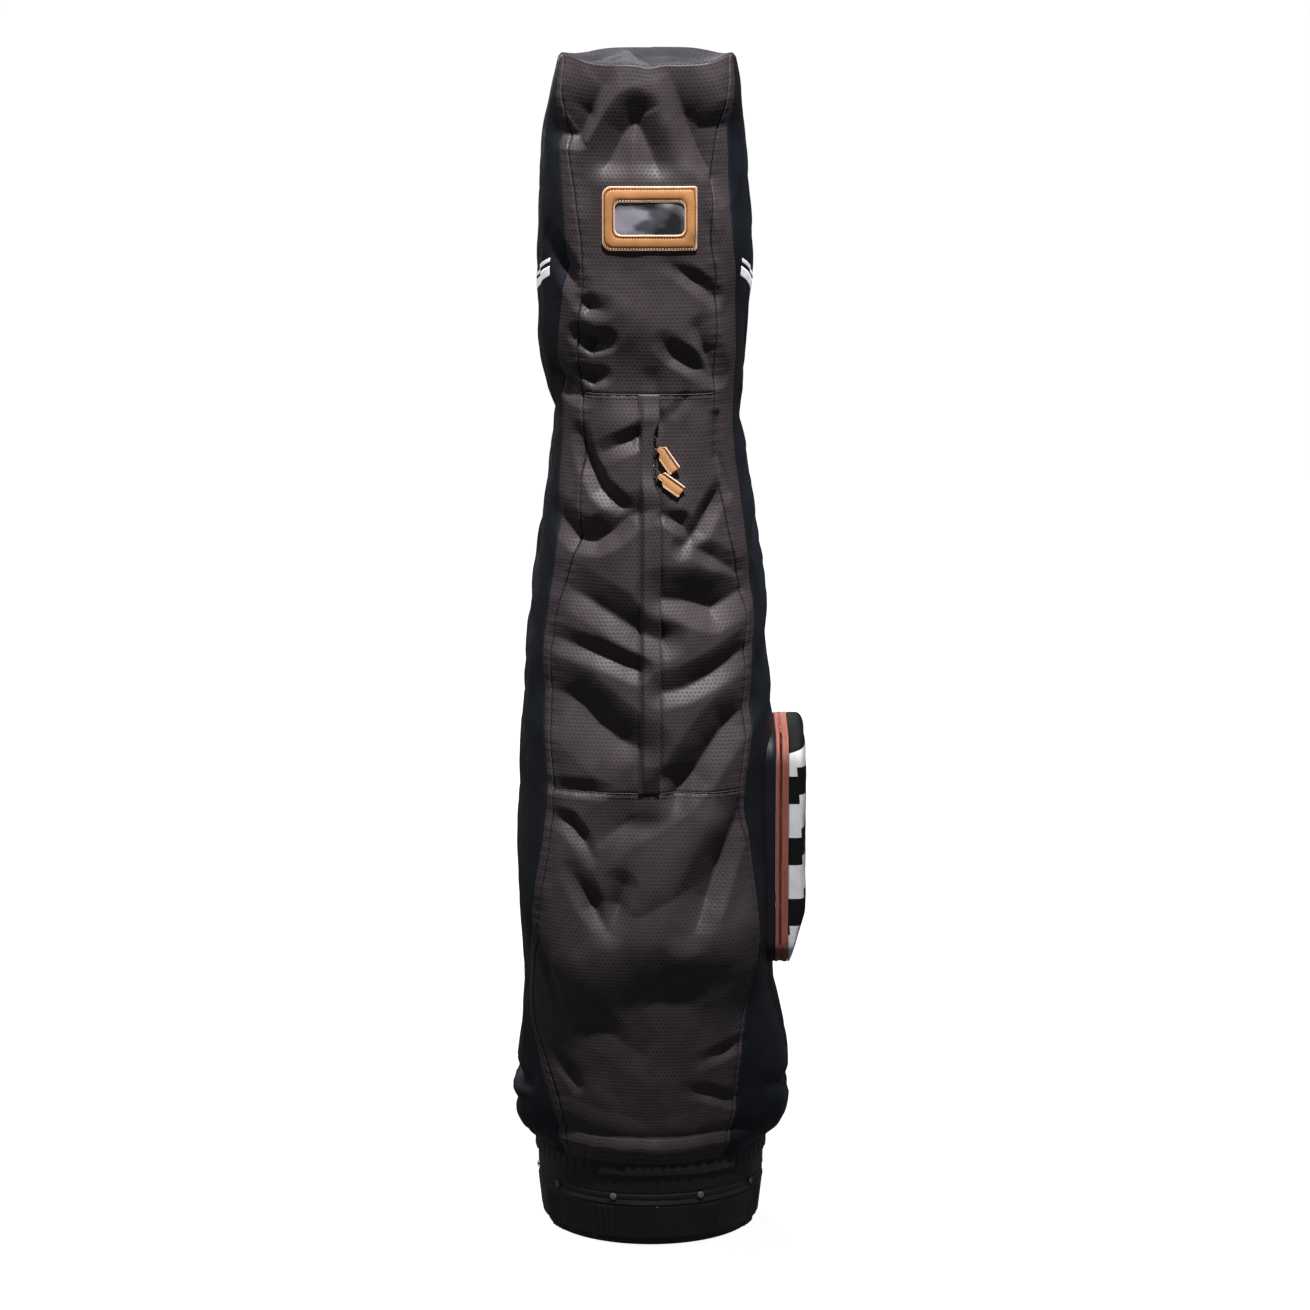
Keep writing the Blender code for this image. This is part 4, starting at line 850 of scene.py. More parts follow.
def printed_ink():
    # The ink glows a little: painted light, which keeps the white print bright on the sides, where the key
    # light hardly reaches.
    paint = Paint("printed_ink", Emission_Color=(0.95, 0.95, 1.0, 1), Emission_Strength=0.45)
    wear = paint.noise(paint.coordinates("UV"), 420, 4, 0.7)
    paint.bump(wear, 0.0001, 0.5)
    stops = ((0.25, (0.55, 0.54, 0.57)), (0.42, (0.80, 0.79, 0.83)), (0.8, (0.88, 0.87, 0.90)))
    return paint.finish(paint.ramp(wear, stops), paint.range(wear, 0.4, 0.6))


HONEYCOMB_PITCH = 0.0045
HONEYCOMB = honeycomb_cloth("honeycomb_nylon", (0.056, 0.045, 0.051), 0.47)
# The crown is the front's honeycomb nylon with its colour darkened to about half: painted shade, because
# the key light falls hardest on the top.
CROWN_CLOTH_SHADED = honeycomb_cloth("crown_nylon_painted_shade", (0.028, 0.026, 0.034), 0.62)
SEAM_CLOTH = plain_cloth("seam_edge", (0.060, 0.052, 0.058), 0.7)
SIDE_NYLON = plain_cloth("side_nylon", (0.0060, 0.0085, 0.0140), 0.55, specular=0.3)
TAN = leather("tan_leather", (0.60, 0.28, 0.11), 0.5)
PULL_LEATHER = leather("pull_leather", (0.66, 0.33, 0.15), 0.42)
EDGE_PAINT = leather("edge_paint", (0.90, 0.62, 0.48), 0.45, 1500, 0.0001)
BLACK_LEATHER = leather("black_leather", (0.012, 0.012, 0.013), 0.46, 700, 0.0003)
BLACK_PLASTIC = moulded("moulded_black", (0.0095, 0.0105, 0.011), 0.46)
RIVET_METAL = moulded("rivet_metal", (0.16, 0.16, 0.165), 0.6, 900)
NICKEL = metal("nickel", (0.62, 0.61, 0.60), 0.24)
ALUMINIUM = metal("aluminium", (0.66, 0.67, 0.68), 0.32, (1, 1, 0.04))
RUST_TAPE = woven_tape("rust_tape", (0.34, 0.105, 0.078))
RUST_COIL = metal("rust_coil", (0.36, 0.13, 0.10), 0.30)
BLACK_TAPE = woven_tape("black_tape", (0.010, 0.010, 0.011))
ELASTIC = woven_tape("elastic", (0.012, 0.012, 0.014), 0.0016)
BAG_CLOTH = plain_cloth("bag_fabric", (0.022, 0.022, 0.025), 0.6, 900)
BAG_WEAVE = woven_tape("bag_weave", (0.020, 0.020, 0.022), 0.0013)
THREAD_BROWN = moulded("brown_thread", (0.030, 0.013, 0.010), 0.8)
THREAD_BLACK = moulded("black_thread", (0.030, 0.029, 0.032), 0.7)
VINYL = clear_vinyl()
STRIPES = striped_canvas()
INK = printed_ink()


# ---------------------------------------------------------------- the cover's panels
def panel_grid(heights, edges, step):
    """Grids of angles, heights and distances round for the cloth between two seam lines."""
    start, end = (np.asarray(edge(heights), float) for edge in edges)
    longest = float(np.max(np.abs(end - start))) * 0.125
    columns = max(int(longest / step), 6) + 1
    t = np.linspace(0, 1, columns)
    angle = start[:, None] + (end - start)[:, None] * t
    z = np.repeat(heights[:, None], columns, axis=1)
    return angle, z, arcs(angle, z)


def seam_profile(s, z, seams, sides):
    """How far a panel turns in at its seams, with the puckers that the thread pulls in beside them.

    seams are the heights of the cross seams at its foot and top, and sides says which sides are sewn.
    """
    inward = np.zeros(s.shape)
    for sewn, distance in zip(sides, (s - s[:, :1], s[:, -1:] - s)):
        if sewn:
            near = hump(distance, 0.0011)
            ripple = np.sin(TAU * (z + 0.004 * value_noise(z / 0.03, s * 0, 9)) / PUCKER_PITCH)
            inward += 0.0012 * near - PUCKER * (1 + ripple) * hump(distance, 0.006, 1) * (1 - near)
    for seam in seams:
        if seam:
            ripple = np.sin(TAU * s / PUCKER_PITCH + 2 * value_noise(s / 0.03, z * 0, 11))
            inward += 0.0009 * hump(z - seam, 0.0016)
            inward -= 0.7 * PUCKER * (1 + ripple) * hump(z - seam, 0.008, 1)
    return inward


def rows(low, high, step):
    return np.linspace(low, high, max(int((high - low) / step), 2) + 1)


def cover_panel(name, node, heights, edges, material=HONEYCOMB, seams=(None, None), sides=(True, True)):
    """One panel of the cover between two edges."""
    angle, z, s = panel_grid(heights, edges, SIDE_STEP if material is SIDE_NYLON else FRONT_STEP)
    points = cloth_points(angle, z, s, -seam_profile(s, z, seams, sides))
    panel = grid_object(name, points, stacked(s, z))
    thicken(panel, CLOTH)
    place(panel, material, "cover", node)


def strip_edge(right):
    """Where the front cloth ends round the side."""
    def edge(z):
        base = seam_angle(z, right)
        sign = 1 if right else -1
        radius = np.linalg.norm(cover_surface(base, z)[..., :2], axis=-1)
        return base + sign * blend_table(STRIPS, z, 2 if right else 1) / radius

    return edge


def front_seam(right):
    return lambda z: seam_angle(z, right)


def back_seam(right):
    return lambda z: seam_angle(z, right, back=True)


def beside_zip(x):
    return lambda z: front_angle(np.full_like(z, x), z)


def build_cover():
    foot, zip_edge = COVER_BOTTOM - 0.002, 0.0055
    beside = rows(SEAM_LOW, SEAM_HIGH, FRONT_STEP)
    whole = rows(foot, COVER_TOP, SIDE_STEP)
    left, right = front_seam(False), front_seam(True)
    cover_panel("front_lower", "cover_front_lower", rows(foot, SEAM_LOW, FRONT_STEP), (left, right),
                seams=(None, SEAM_LOW))
    cover_panel("front_upper", "cover_front_upper", rows(SEAM_HIGH, COVER_TOP, FRONT_STEP), (left, right),
                seams=(SEAM_HIGH, None))
    cover_panel("front_left", "cover_front_left", beside, (left, beside_zip(-zip_edge)),
                seams=(SEAM_LOW, SEAM_HIGH), sides=(True, False))
    cover_panel("front_right", "cover_front_right", beside, (beside_zip(zip_edge), right),
                seams=(SEAM_LOW, SEAM_HIGH), sides=(False, True))
    for side, is_right in (("left", False), ("right", True)):
        node, order = f"cover_side_{side}", 1 if is_right else -1
        edges = (front_seam(is_right), strip_edge(is_right), back_seam(is_right))
        cover_panel(f"front_strip_{side}", node, rows(foot, COVER_TOP, FRONT_STEP), edges[:2][::order],
                    sides=(is_right, not is_right))
        cover_panel(f"side_{side}", node, whole, edges[1:][::order], SIDE_NYLON,
                    sides=(not is_right, is_right))
    cover_panel("back", "cover_back", whole,
                (back_seam(True), lambda z: TAU + seam_angle(z, False, back=True)), SIDE_NYLON)


def build_crown():
    """The top panel: slack cloth between the corners, with a crease from front to back."""
    columns, rings = 260, 44
    angle = (full_turn(columns) - math.pi)[None, :]
    z = np.full_like(angle, COVER_TOP)
    rim = cloth_points(angle, z, arcs(angle, z), -0.0004)[0]
    share = np.concatenate((np.linspace(1.0, 0.9, 12), np.linspace(0.88, 0.02, rings - 12)))
    points = np.empty((rings, columns, 3))
    centre = np.array((-0.004, 0.0, 1.2635))
    for r, k in enumerate(share):
        flat = centre[:2] + (rim[:, :2] - centre[:2]) * k
        level = centre[2] + (rim[:, 2] - centre[2]) * k**1.6
        x, y = flat[:, 0], flat[:, 1]
        inside = np.clip(1 - k, 0, 1)
        slack = np.minimum(inside / 0.25, 1) ** 1.5
        crease = hump(x + 0.012 + 0.15 * y, 0.016, 1)
        dish = -0.0070 * (1 - crease) + 0.0015 * value_noise(x / 0.02, y / 0.02, 21)
        points[r] = stacked(x, y, level + slack * dish + 0.0006 * hump(1 - k, 0.014))
    faces = grid_faces(rings, columns, wrap=True)
    vertices = np.concatenate((points.reshape(-1, 3), points[-1].mean(axis=0)[None]))
    faces += [[(rings - 1) * columns + c, (rings - 1) * columns + (c + 1) % columns, rings * columns]
              for c in range(columns)]
    obj = new_object("crown", vertices, faces, vertices[:, :2])
    thicken(obj, CLOTH)
    place(obj, CROWN_CLOTH_SHADED, "cover", "cover_crown")


def build_seams():
    """The two cross seams of the front: a thin rolled edge with a row of stitches below it."""
    for name, z in (("low", SEAM_LOW), ("high", SEAM_HIGH)):
        start, end = (float(seam_angle(np.array([z]), right)[0]) for right in (False, True))
        angle = np.linspace(start + 0.01, end - 0.01, 220)[None, :]
        level = np.full_like(angle, z)
        edge = cloth_points(angle, level, arcs(angle, level), -0.0002)[0]
        place(tube_object(f"cross_seam_{name}", edge, 0.0006), SEAM_CLOTH, "cover")
        level = level - 0.0042
        line = cloth_points(angle, level, arcs(angle, level), 0.0002)[0]
        thread = stitch_path(f"cross_seam_thread_{name}", line, cover_normals(angle, level)[0], 0.0034)
        place(thread, THREAD_BLACK, "cover")


def build_prints():
    """Two plain chevrons on each side of the cover."""
    top, half_width, dip = 1.0640, 0.082, 0.030
    for side, sign in (("left", -1), ("right", 1)):
        for name, drop, tall in (("thin", 0.0, 0.0040), ("thick", 0.0085, 0.0100)):
            half = np.linspace(-half_width, half_width, 120)
            across = np.linspace(1, 0, 6)[:, None]
            level = top - drop - dip * (1 - np.abs(half) / half_width)[None, :] - tall * across
            table = arc_table(1.05)
            target = np.interp(sign * math.pi / 2, ARC_ANGLES, table) + half
            angle = np.broadcast_to(np.interp(target, table, ARC_ANGLES), level.shape)
            s = np.broadcast_to(target, level.shape)
            chevron = grid_object(f"print_{name}_{side}", cloth_points(angle, level, s, 0.0004),
                                  stacked(s, level))
            thicken(chevron, 0.0003)
            place(chevron, INK, "cover")


def build_hem():
    """The elastic channel at the cover's lower edge, gathered all round."""
    low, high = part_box("hem_elastic")
    radius = high.x
    angle = full_turn(720)
    gathers = 0.5 + 0.5 * np.sin(angle * 64 + 1.5 * np.sin(angle * 7))
    profile = ((-0.0022, 0.0), (-0.0004, 0.0006), (0.0, 0.0030), (-0.0003, 0.0090), (0.0, 0.0130),
               (-0.0010, 0.0158), (-0.0024, 0.0160), (-0.0024, 0.0080))
    loops = []
    for inset, up in profile:
        depth = 0.0009 * gathers * (1.0 if inset > -0.002 else 0.1)
        r = radius + inset - depth
        wave = 0.0012 * np.sin(angle * 5 + 1) * (1 - up / 0.016)
        level = low.z + up + np.maximum(wave, 0)
        loops.append(stacked(r * np.sin(angle), -r * np.cos(angle), level))
    place(lofted("hem", loops, ring=True), ELASTIC, "cover", "hem_elastic")


# ---------------------------------------------------------------- the bag inside
BASE_YAW = math.radians(3.5)
CUP_BOTTOM_R, CUP_TOP_R, CUP_HEIGHT, CUP_FLOOR = 0.1180, 0.1220, 0.0455, 0.0060
BAND_R, BAND_BOTTOM, BAND_TOP, BAND_SEAMS = 0.1225, 0.0460, 0.1120, (0.0520, 0.0592)
RIVET_ANGLES, RIVET_R, RIVET_HEIGHT = (22.5, 58.5, 94.5, 130.5), 0.0038, 0.0555
RIB_COUNT, RIB_PITCH, RIB_HEIGHT = 4, math.radians(3.3), 0.0011


def turned_points(profile, columns, shape):
    """Loops round the Z axis. shape(angle, z) gives what is added to each radius."""
    angle = full_turn(columns)
    loops = []
    for r, z in profile:
        radius = r + shape(angle, z)
        loops.append(stacked(radius * np.sin(angle), -radius * np.cos(angle), z))
    return np.array(loops)


def rib_share(angle):
    """1 on a rib of the base cup, and 1 where the angle is inside a group of ribs."""
    turned = np.abs(wrapped(angle - BASE_YAW))
    middle = 0.5 * RIB_COUNT * RIB_PITCH
    ribs, groups = np.zeros(angle.shape), np.zeros(angle.shape)
    for start in RIVET_ANGLES:
        offset = turned - math.radians(start)
        groups += hump(offset - middle, middle + 0.01, 12)
        for k in range(RIB_COUNT):
            ribs += hump(offset - RIB_PITCH * (k + 0.5), 0.30 * RIB_PITCH, 4)
    return ribs, groups


def build_cup():
    def shape(angle, z):
        ribs, groups = rib_share(angle)
        if z > CUP_HEIGHT - 0.0012 or z < 0.0012:
            return np.zeros(angle.shape)
        lip = -0.0022 if z < 0.0088 else 0.0
        return ribs * RIB_HEIGHT * min(1.0, (CUP_HEIGHT - z) / 0.004) + lip * (1 - groups)

    wall = [(CUP_BOTTOM_R + (CUP_TOP_R - CUP_BOTTOM_R) * k / 12, 0.0095 + (0.0440 - 0.0095) * k / 12)
            for k in range(13)]
    inner = TUBE_R + 0.0006
    profile = [(0.1085, 0.0), (0.1120, 0.0002), (0.1138, 0.0014), (0.1146, 0.0030), (0.1148, 0.0084)]
    profile += wall + [(CUP_TOP_R, CUP_HEIGHT - 0.0006), (CUP_TOP_R - 0.0006, CUP_HEIGHT),
                       (inner, CUP_HEIGHT), (inner, CUP_FLOOR)]
    shell = lofted("base_cup_shell", turned_points(profile, 1080, shape), smooth_angle=50)
    place(shell, BLACK_PLASTIC, "bag", "base_cup")


def band_radius(z):
    """The padded band: piping at its foot, two sewn lines, a soft roll and a rounded top."""
    share = (z - BAND_BOTTOM) / (BAND_TOP - BAND_BOTTOM)
    radius = BAND_R - 0.0004 + 0.0009 * math.sin(math.pi * min(max((share - 0.2) / 0.8, 0), 1))
    for line in BAND_SEAMS:
        radius -= 0.0008 * hump(z - line, 0.0011)
    radius += 0.0007 * hump(z - 0.0478, 0.0012)
    top = max(0.0, (z - (BAND_TOP - 0.0070)) / 0.0070)
    return radius - 0.0072 * (1 - math.sqrt(max(1 - top * top, 0.0)))


def build_band():
    def shape(angle, z):
        from_seam = wrapped(angle - BASE_YAW)
        soft = value_noise(angle * 9, angle * 0 + z / 0.02, 31)
        return -0.0010 * hump(from_seam, 0.011) + 0.0003 * (hump(from_seam, 0.030) + soft * (z > 0.062))

    heights = np.concatenate((np.linspace(BAND_BOTTOM, 0.0640, 34), np.linspace(0.0660, BAND_TOP, 36)))
    profile = [(float(band_radius(z)), float(z)) for z in heights]
    inner = TUBE_R + 0.0006
    profile += [(inner, BAND_TOP - 0.0004), (inner, BAND_BOTTOM)]
    band = lofted("base_band_padded", turned_points(profile, 720, shape), ring=True, smooth_angle=60)
    place(band, BLACK_LEATHER, "bag", "base_band")
    angle = full_turn(720) + BASE_YAW
    out = stacked(np.sin(angle), -np.cos(angle), 0.0)
    for k, z in enumerate(BAND_SEAMS):
        path = out * (band_radius(z) + 0.0001) + (0, 0, z)
        thread = stitch_path(f"band_thread_{k + 1}", path, out, 0.0036, closed=True)
        place(thread, THREAD_BLACK, "bag", slot="black_leather")


def build_rivets():
    profile = ((0.0012, -0.0040), (0.0012, 0.0004), (RIVET_R, 0.0005), (RIVET_R, 0.0009), (0.0036, 0.0012),
               (0.0029, 0.0014), (0.0018, 0.0015), (0.0008, 0.0016))
    turn, up = full_turn(32)[:, None], np.array((0, 0, 1.0))
    names = [(f"rivet_{side}_{k + 1}", sign * math.radians(a) + BASE_YAW)
             for side, sign in (("left", -1), ("right", 1)) for k, a in enumerate(RIVET_ANGLES)]
    for name, angle in names + [("rivet_back", math.pi + BASE_YAW)]:
        out = np.array((math.sin(angle), -math.cos(angle), 0))
        across = np.array((math.cos(angle), math.sin(angle), 0))
        loops = [out * (BAND_R + h) + up * RIVET_HEIGHT + r * (np.cos(turn) * across + np.sin(turn) * up)
                 for r, h in profile]
        place(lofted(name + "_domed", loops, smooth_angle=50), RIVET_METAL, "bag", name)


def on_tube(angle, z, offset):
    a, b = tube_half(z, 0) + offset, tube_half(z, 1) + offset
    return stacked(a * np.sin(angle), -b * np.cos(angle), z)


def build_tube():
    z = np.linspace(CUP_FLOOR + 0.0003, 0.7995, 230)[:, None]
    angle = np.linspace(0, TAU, 301)[None, :]
    seams = sum(hump(wrapped(angle - a), 0.012) for a in (0.72, 2.30, 3.98, 5.56))
    soft = 0.0005 * value_noise(angle * 6 + z * 0, z / 0.05, 41)
    soft = soft + 0.0002 * value_noise(angle * 22, z / 0.012, 42)
    above = np.clip((z - 0.118) / 0.02, 0, 1)
    points = on_tube(angle, z, (soft - 0.0009 * seams - 0.0002) * above)
    tube = grid_object("bag_body", points, stacked(angle * TUBE_R, z))
    thicken(tube, TUBE_WALL - 0.0004)
    place(tube, BAG_CLOTH, "bag", "bag_tube")


def build_cuff():
    def ring(name, section, material, *nodes):
        turn = full_turn(300)
        loops = [stacked((MOUTH[0] - inset) * np.sin(turn), (inset - MOUTH[1]) * np.cos(turn), z)
                 for inset, z in section]
        place(lofted(name, loops, ring=True, smooth_angle=50), material, "bag", *nodes)

    low, top = CUFF_BOTTOM, CUFF_TOP
    ring("cuff_shell", (
        (-0.0006, low), (-0.0017, low + 0.0002), (-0.0020, low + 0.0012), (-0.0020, low + 0.0050),
        (-0.0012, low + 0.0062), (-0.0012, top - 0.0100), (-0.0006, top - 0.0050), (0.0012, top - 0.0016),
        (0.0040, top), (0.0085, top), (0.0108, top - 0.0016), (0.0120, top - 0.0045),
        (0.0120, 0.8006), (0.0110, 0.8003), (-0.0006, 0.8003),
    ), BLACK_PLASTIC, "top_cuff")
    ring("cuff_piping", (
        (-0.0012, low - 0.0026), (-0.0026, low - 0.0018), (-0.0028, low - 0.0008),
        (-0.0016, low - 0.0002), (-0.0004, low - 0.0004),
    ), BLACK_LEATHER)


def tube_pocket(name, node, middle, half_angle, low, high):
    """A pocket sewn on the bag's tube: a puffed face with rounded corners, piping and a zip."""
    radius, corner = 0.105, 0.022
    middle, half_width = math.radians(middle), math.radians(half_angle) * radius
    half_height = 0.5 * (high - low)
    u, v = np.meshgrid(np.linspace(-1, 1, 90), np.linspace(-1, 1, 110))
    past = np.clip((np.abs(v) * half_height - half_height + corner) / corner, 0, 1)
    reach = half_width - corner * (1 - np.sqrt(1 - past**2))
    x, z = u * reach, low + (v + 1) * half_height
    edge = np.minimum(np.abs(reach) - np.abs(x), half_height * (1 - np.abs(v)))
    swell = 1 - hump(np.maximum(edge, 0), 0.008, 1)
    soft = 0.0008 * value_noise(x / 0.03, v * half_height / 0.03, 51)
    points = on_tube(middle + x / radius, z, 0.0010 + (0.0052 + soft) * swell)
    face = grid_object(name, points, stacked(x, z))
    thicken(face, 0.0009)
    place(face, BAG_CLOTH, "bag", node)
    rim = np.concatenate((points[0, :-1], points[:-1, -1], points[-1, :0:-1], points[:0:-1, 0]))
    place(tube_object(f"{name}_piping", rim, 0.0011, closed=True), BLACK_LEATHER, "bag")
    span = np.linspace(-0.8, 0.8, 60) * half_width
    where = on_tube(middle + span / radius, np.full(60, high - 0.040), 0.0066)
    coil_line(f"{name}_zip", where, 0.0009, 0.0016, NICKEL, "bag")


def build_strap():
    half, low, high, steps = 0.0125, 0.46, 0.60, 60
    t = np.linspace(0, 1, steps)
    z = low + (high - low) * t
    rise = 0.0030 * np.clip(np.sin(math.pi * np.clip((t - 0.09) / 0.82, 0, 1)) * 2.2, 0, 1)
    y = tube_half(z, 1) + 0.0008 + rise
    section = ((-1.0, 0.0012), (-0.94, 0.0027), (-0.8, 0.0033), (-0.4, 0.0035), (0.4, 0.0035),
               (0.8, 0.0033), (0.94, 0.0027), (1.0, 0.0012), (0.94, 0.0), (0.0, 0.0), (-0.94, 0.0))
    loops = [[(half * share, y[k] + lift, z[k]) for share, lift in section] for k in range(steps)]
    place(lofted("rear_strap", loops, smooth_angle=60), BLACK_LEATHER, "bag", "bag_handle")
    for name, side in (("left", -1), ("right", 1)):
        path = stacked(side * half * 0.8, y + 0.0034, z)
        outward = np.tile((0.0, 1.0, 0.0), (steps, 1))
        thread = stitch_path(f"rear_strap_thread_{name}", path, outward, 0.0036)
        place(thread, THREAD_BROWN, "bag", slot="black_leather")


def refined(name, node, width):
    """A copy of one of the bag's CAD nodes in woven cloth, with its edges rounded."""
    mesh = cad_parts[node].data.copy()
    obj = bpy.data.objects.new(name, mesh)
    bpy.context.scene.collection.objects.link(obj)
    bm = bmesh.new()
    bm.from_mesh(mesh)
    bmesh.ops.remove_doubles(bm, verts=bm.verts, dist=0.00002)
    bmesh.ops.dissolve_limit(bm, angle_limit=math.radians(1), verts=bm.verts, edges=bm.edges)
    bm.to_mesh(mesh)
    bm.free()
    bevel = obj.modifiers.new("Rounded edges", "BEVEL")
    bevel.width = width
    bevel.segments = 3
    bevel.limit_method = "ANGLE"
    bevel.harden_normals = True
    mesh.shade_smooth()
    place(obj, BAG_WEAVE, "bag", node)


def finish_nodes(material, *nodes):
    """Gives CAD nodes that stay their finished material."""
    for node in nodes:
        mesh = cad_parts[node].data
        mesh.materials.clear()
        mesh.materials.append(material)


def build_inside():
    build_tube()
    build_cuff()
    tube_pocket("ball_pocket", "bag_ball_pocket", 0, 33, 0.152, 0.398)
    for side, middle in (("left", -92), ("right", 92)):
        tube_pocket(f"side_pocket_{side}", f"bag_side_pocket_{side}", middle, 41, 0.152, 0.618)
    build_strap()
    refined("divider_padded", "cuff_divider", 0.0012)
    refined("floor_padded", "bag_floor_pad", 0.0008)
    finish_nodes(ALUMINIUM, "stay_left", "stay_right", "pole_lower", "pole_upper")
    finish_nodes(BLACK_PLASTIC, "pole_lock_collar", "pole_head")


# ---------------------------------------------------------------- zips and pulls
ZIP_UP = np.array((0.0, ZIP_LOW_DEPTH - ZIP_HIGH_DEPTH, SEAM_HIGH - SEAM_LOW))
ZIP_LENGTH = float(np.linalg.norm(ZIP_UP))
ZIP_UP /= ZIP_LENGTH
ZIP_OUT = np.array((0.0, -ZIP_UP[2], ZIP_UP[1]))
ZIP_FOOT = np.array((0.0, -ZIP_LOW_DEPTH, SEAM_LOW))
FLAP_ROOT, FLAP_EDGE, FLAP_DIP = -0.0125, 0.0110, 0.0066
SLIDERS = (("upper", 0.8820, -55), ("lower", 0.8470, -36))  # height, and how its pull lies in degrees
PULL_HINGE_X, WIRE_HEIGHT = 0.0085, 0.0034
TAB_LENGTH, TAB_HALF_WIDTH = 0.0300, 0.0070
POCKET_SLIDER_Z = 0.3350


def on_zip(x, u, d):
    x, u, d = np.broadcast_arrays(np.asarray(x, float), u, d)
    return ZIP_FOOT + x[..., None] * (1, 0, 0) + u[..., None] * ZIP_UP + d[..., None] * ZIP_OUT


def coil_line(name, path, radius, pitch, material, body, *nodes, squash=0.7):
    """A zip's spiral of plastic wire along a path."""
    path = np.asarray(path, float)
    lengths = lengths_along(path)
    where = np.linspace(0, lengths[-1], int(lengths[-1] / pitch * 9))
    centre = spread(where, lengths, path)
    tangent = unit(np.gradient(centre, axis=0))
    side = np.cross(tangent, (0.13, 0.31, 0.94))
    flat = np.linalg.norm(side, axis=1, keepdims=True) < 0.35
    side = unit(np.where(flat, np.cross(tangent, (0.0, 1.0, 0.0)), side))
    phase = where[:, None] / pitch * TAU
    wire = centre + radius * (np.cos(phase) * side + squash * np.sin(phase) * np.cross(tangent, side))
    place(tube_object(name, wire, radius * 0.30, 5), material, body, *nodes, slot="zip_metal")


def build_front_zip():
    finish_nodes(BLACK_TAPE, "zip_tape_left", "zip_tape_right")
    finish_nodes(NICKEL, "zip_stop_top", "zip_stop_bottom", "slider_upper", "slider_lower",
                 "pull_ring_upper", "pull_ring_lower", "pocket_slider", "pocket_pull_ring")
    u = np.linspace(0.0055, ZIP_LENGTH - 0.0055, 80)
    for name, side in (("left", -1), ("right", 1)):
        coil_line(f"zip_coil_{name}", on_zip(side * 0.0007, u, -0.0002), 0.0008, 0.0015, THREAD_BLACK,
                  "cover", f"zip_teeth_{name}")


def zip_lift(s, z):
    """The cloth beside the zip stands proud of it, so that the flap lies in the same folds."""
    up = smooth(np.clip((z - SEAM_LOW) / 0.035, 0, 1) * np.clip((SEAM_HIGH - z) / 0.035, 0, 1))
    beside = (1 - hump(s, 0.0105, 4)) * hump(s, 0.055, 4)
    at_pulls = hump(s - PULLS_S, 0.020, 4) * hump(z - PULLS_Z, PULLS_REACH, 4)
    return 0.0056 * up * beside * (1 - at_pulls)


def build_flap():
    z = rows(SEAM_LOW - 0.0002, SEAM_HIGH + 0.0002, 0.0019)[:, None]
    waver = 0.0012 * value_noise(z / 0.06, z * 0, 61)
    edge = FLAP_EDGE - FLAP_DIP * hump(z - 0.858, 0.034, 6) - waver - 0.0006
    t = np.linspace(0, 1, 22)[None, :]
    x = FLAP_ROOT + (edge - FLAP_ROOT) * t
    z = np.broadcast_to(z, x.shape)
    angle = front_angle(x, z)
    s = arcs(angle, z)
    at_root = 0.0010 + zip_lift(s, z) - fold_depth(angle, z, s)
    # Over the zip the cloth spans the folds. It clears the sliders, and lies level above them.
    over_zip = 0.0028 + 0.82 * np.maximum(0.0120 - fold_depth(angle, z, s, by_zip=False), 0)
    near_slider = hump(z - 0.865, 0.035, 4)
    over_zip = over_zip * (1 - near_slider) + 0.0064 * near_slider
    over_zip = over_zip + (0.0056 - over_zip) * np.clip((z - 0.885) / 0.030, 0, 1)
    height = at_root + (over_zip - at_root) * smooth(t / 0.30)
    ends = np.clip((z - SEAM_LOW) / 0.030, 0, 1) * np.clip((SEAM_HIGH - z) / 0.026, 0, 1)
    height = FLAP_GAUGE + (height - FLAP_GAUGE) * ends - 0.0010 * np.clip((t - 0.93) / 0.07, 0, 1)
    normals = cover_normals(angle, z)
    points = cover_surface(angle, z) + normals * height[..., None]
    flap = grid_object("storm_flap_cloth", points, stacked(s, z))
    thicken(flap, 0.0009)
    place(flap, HONEYCOMB, "flap", "storm_flap")
    place(stitch_path("storm_flap_thread", points[:, 3], normals[:, 3], 0.0034), THREAD_BLACK, "flap")


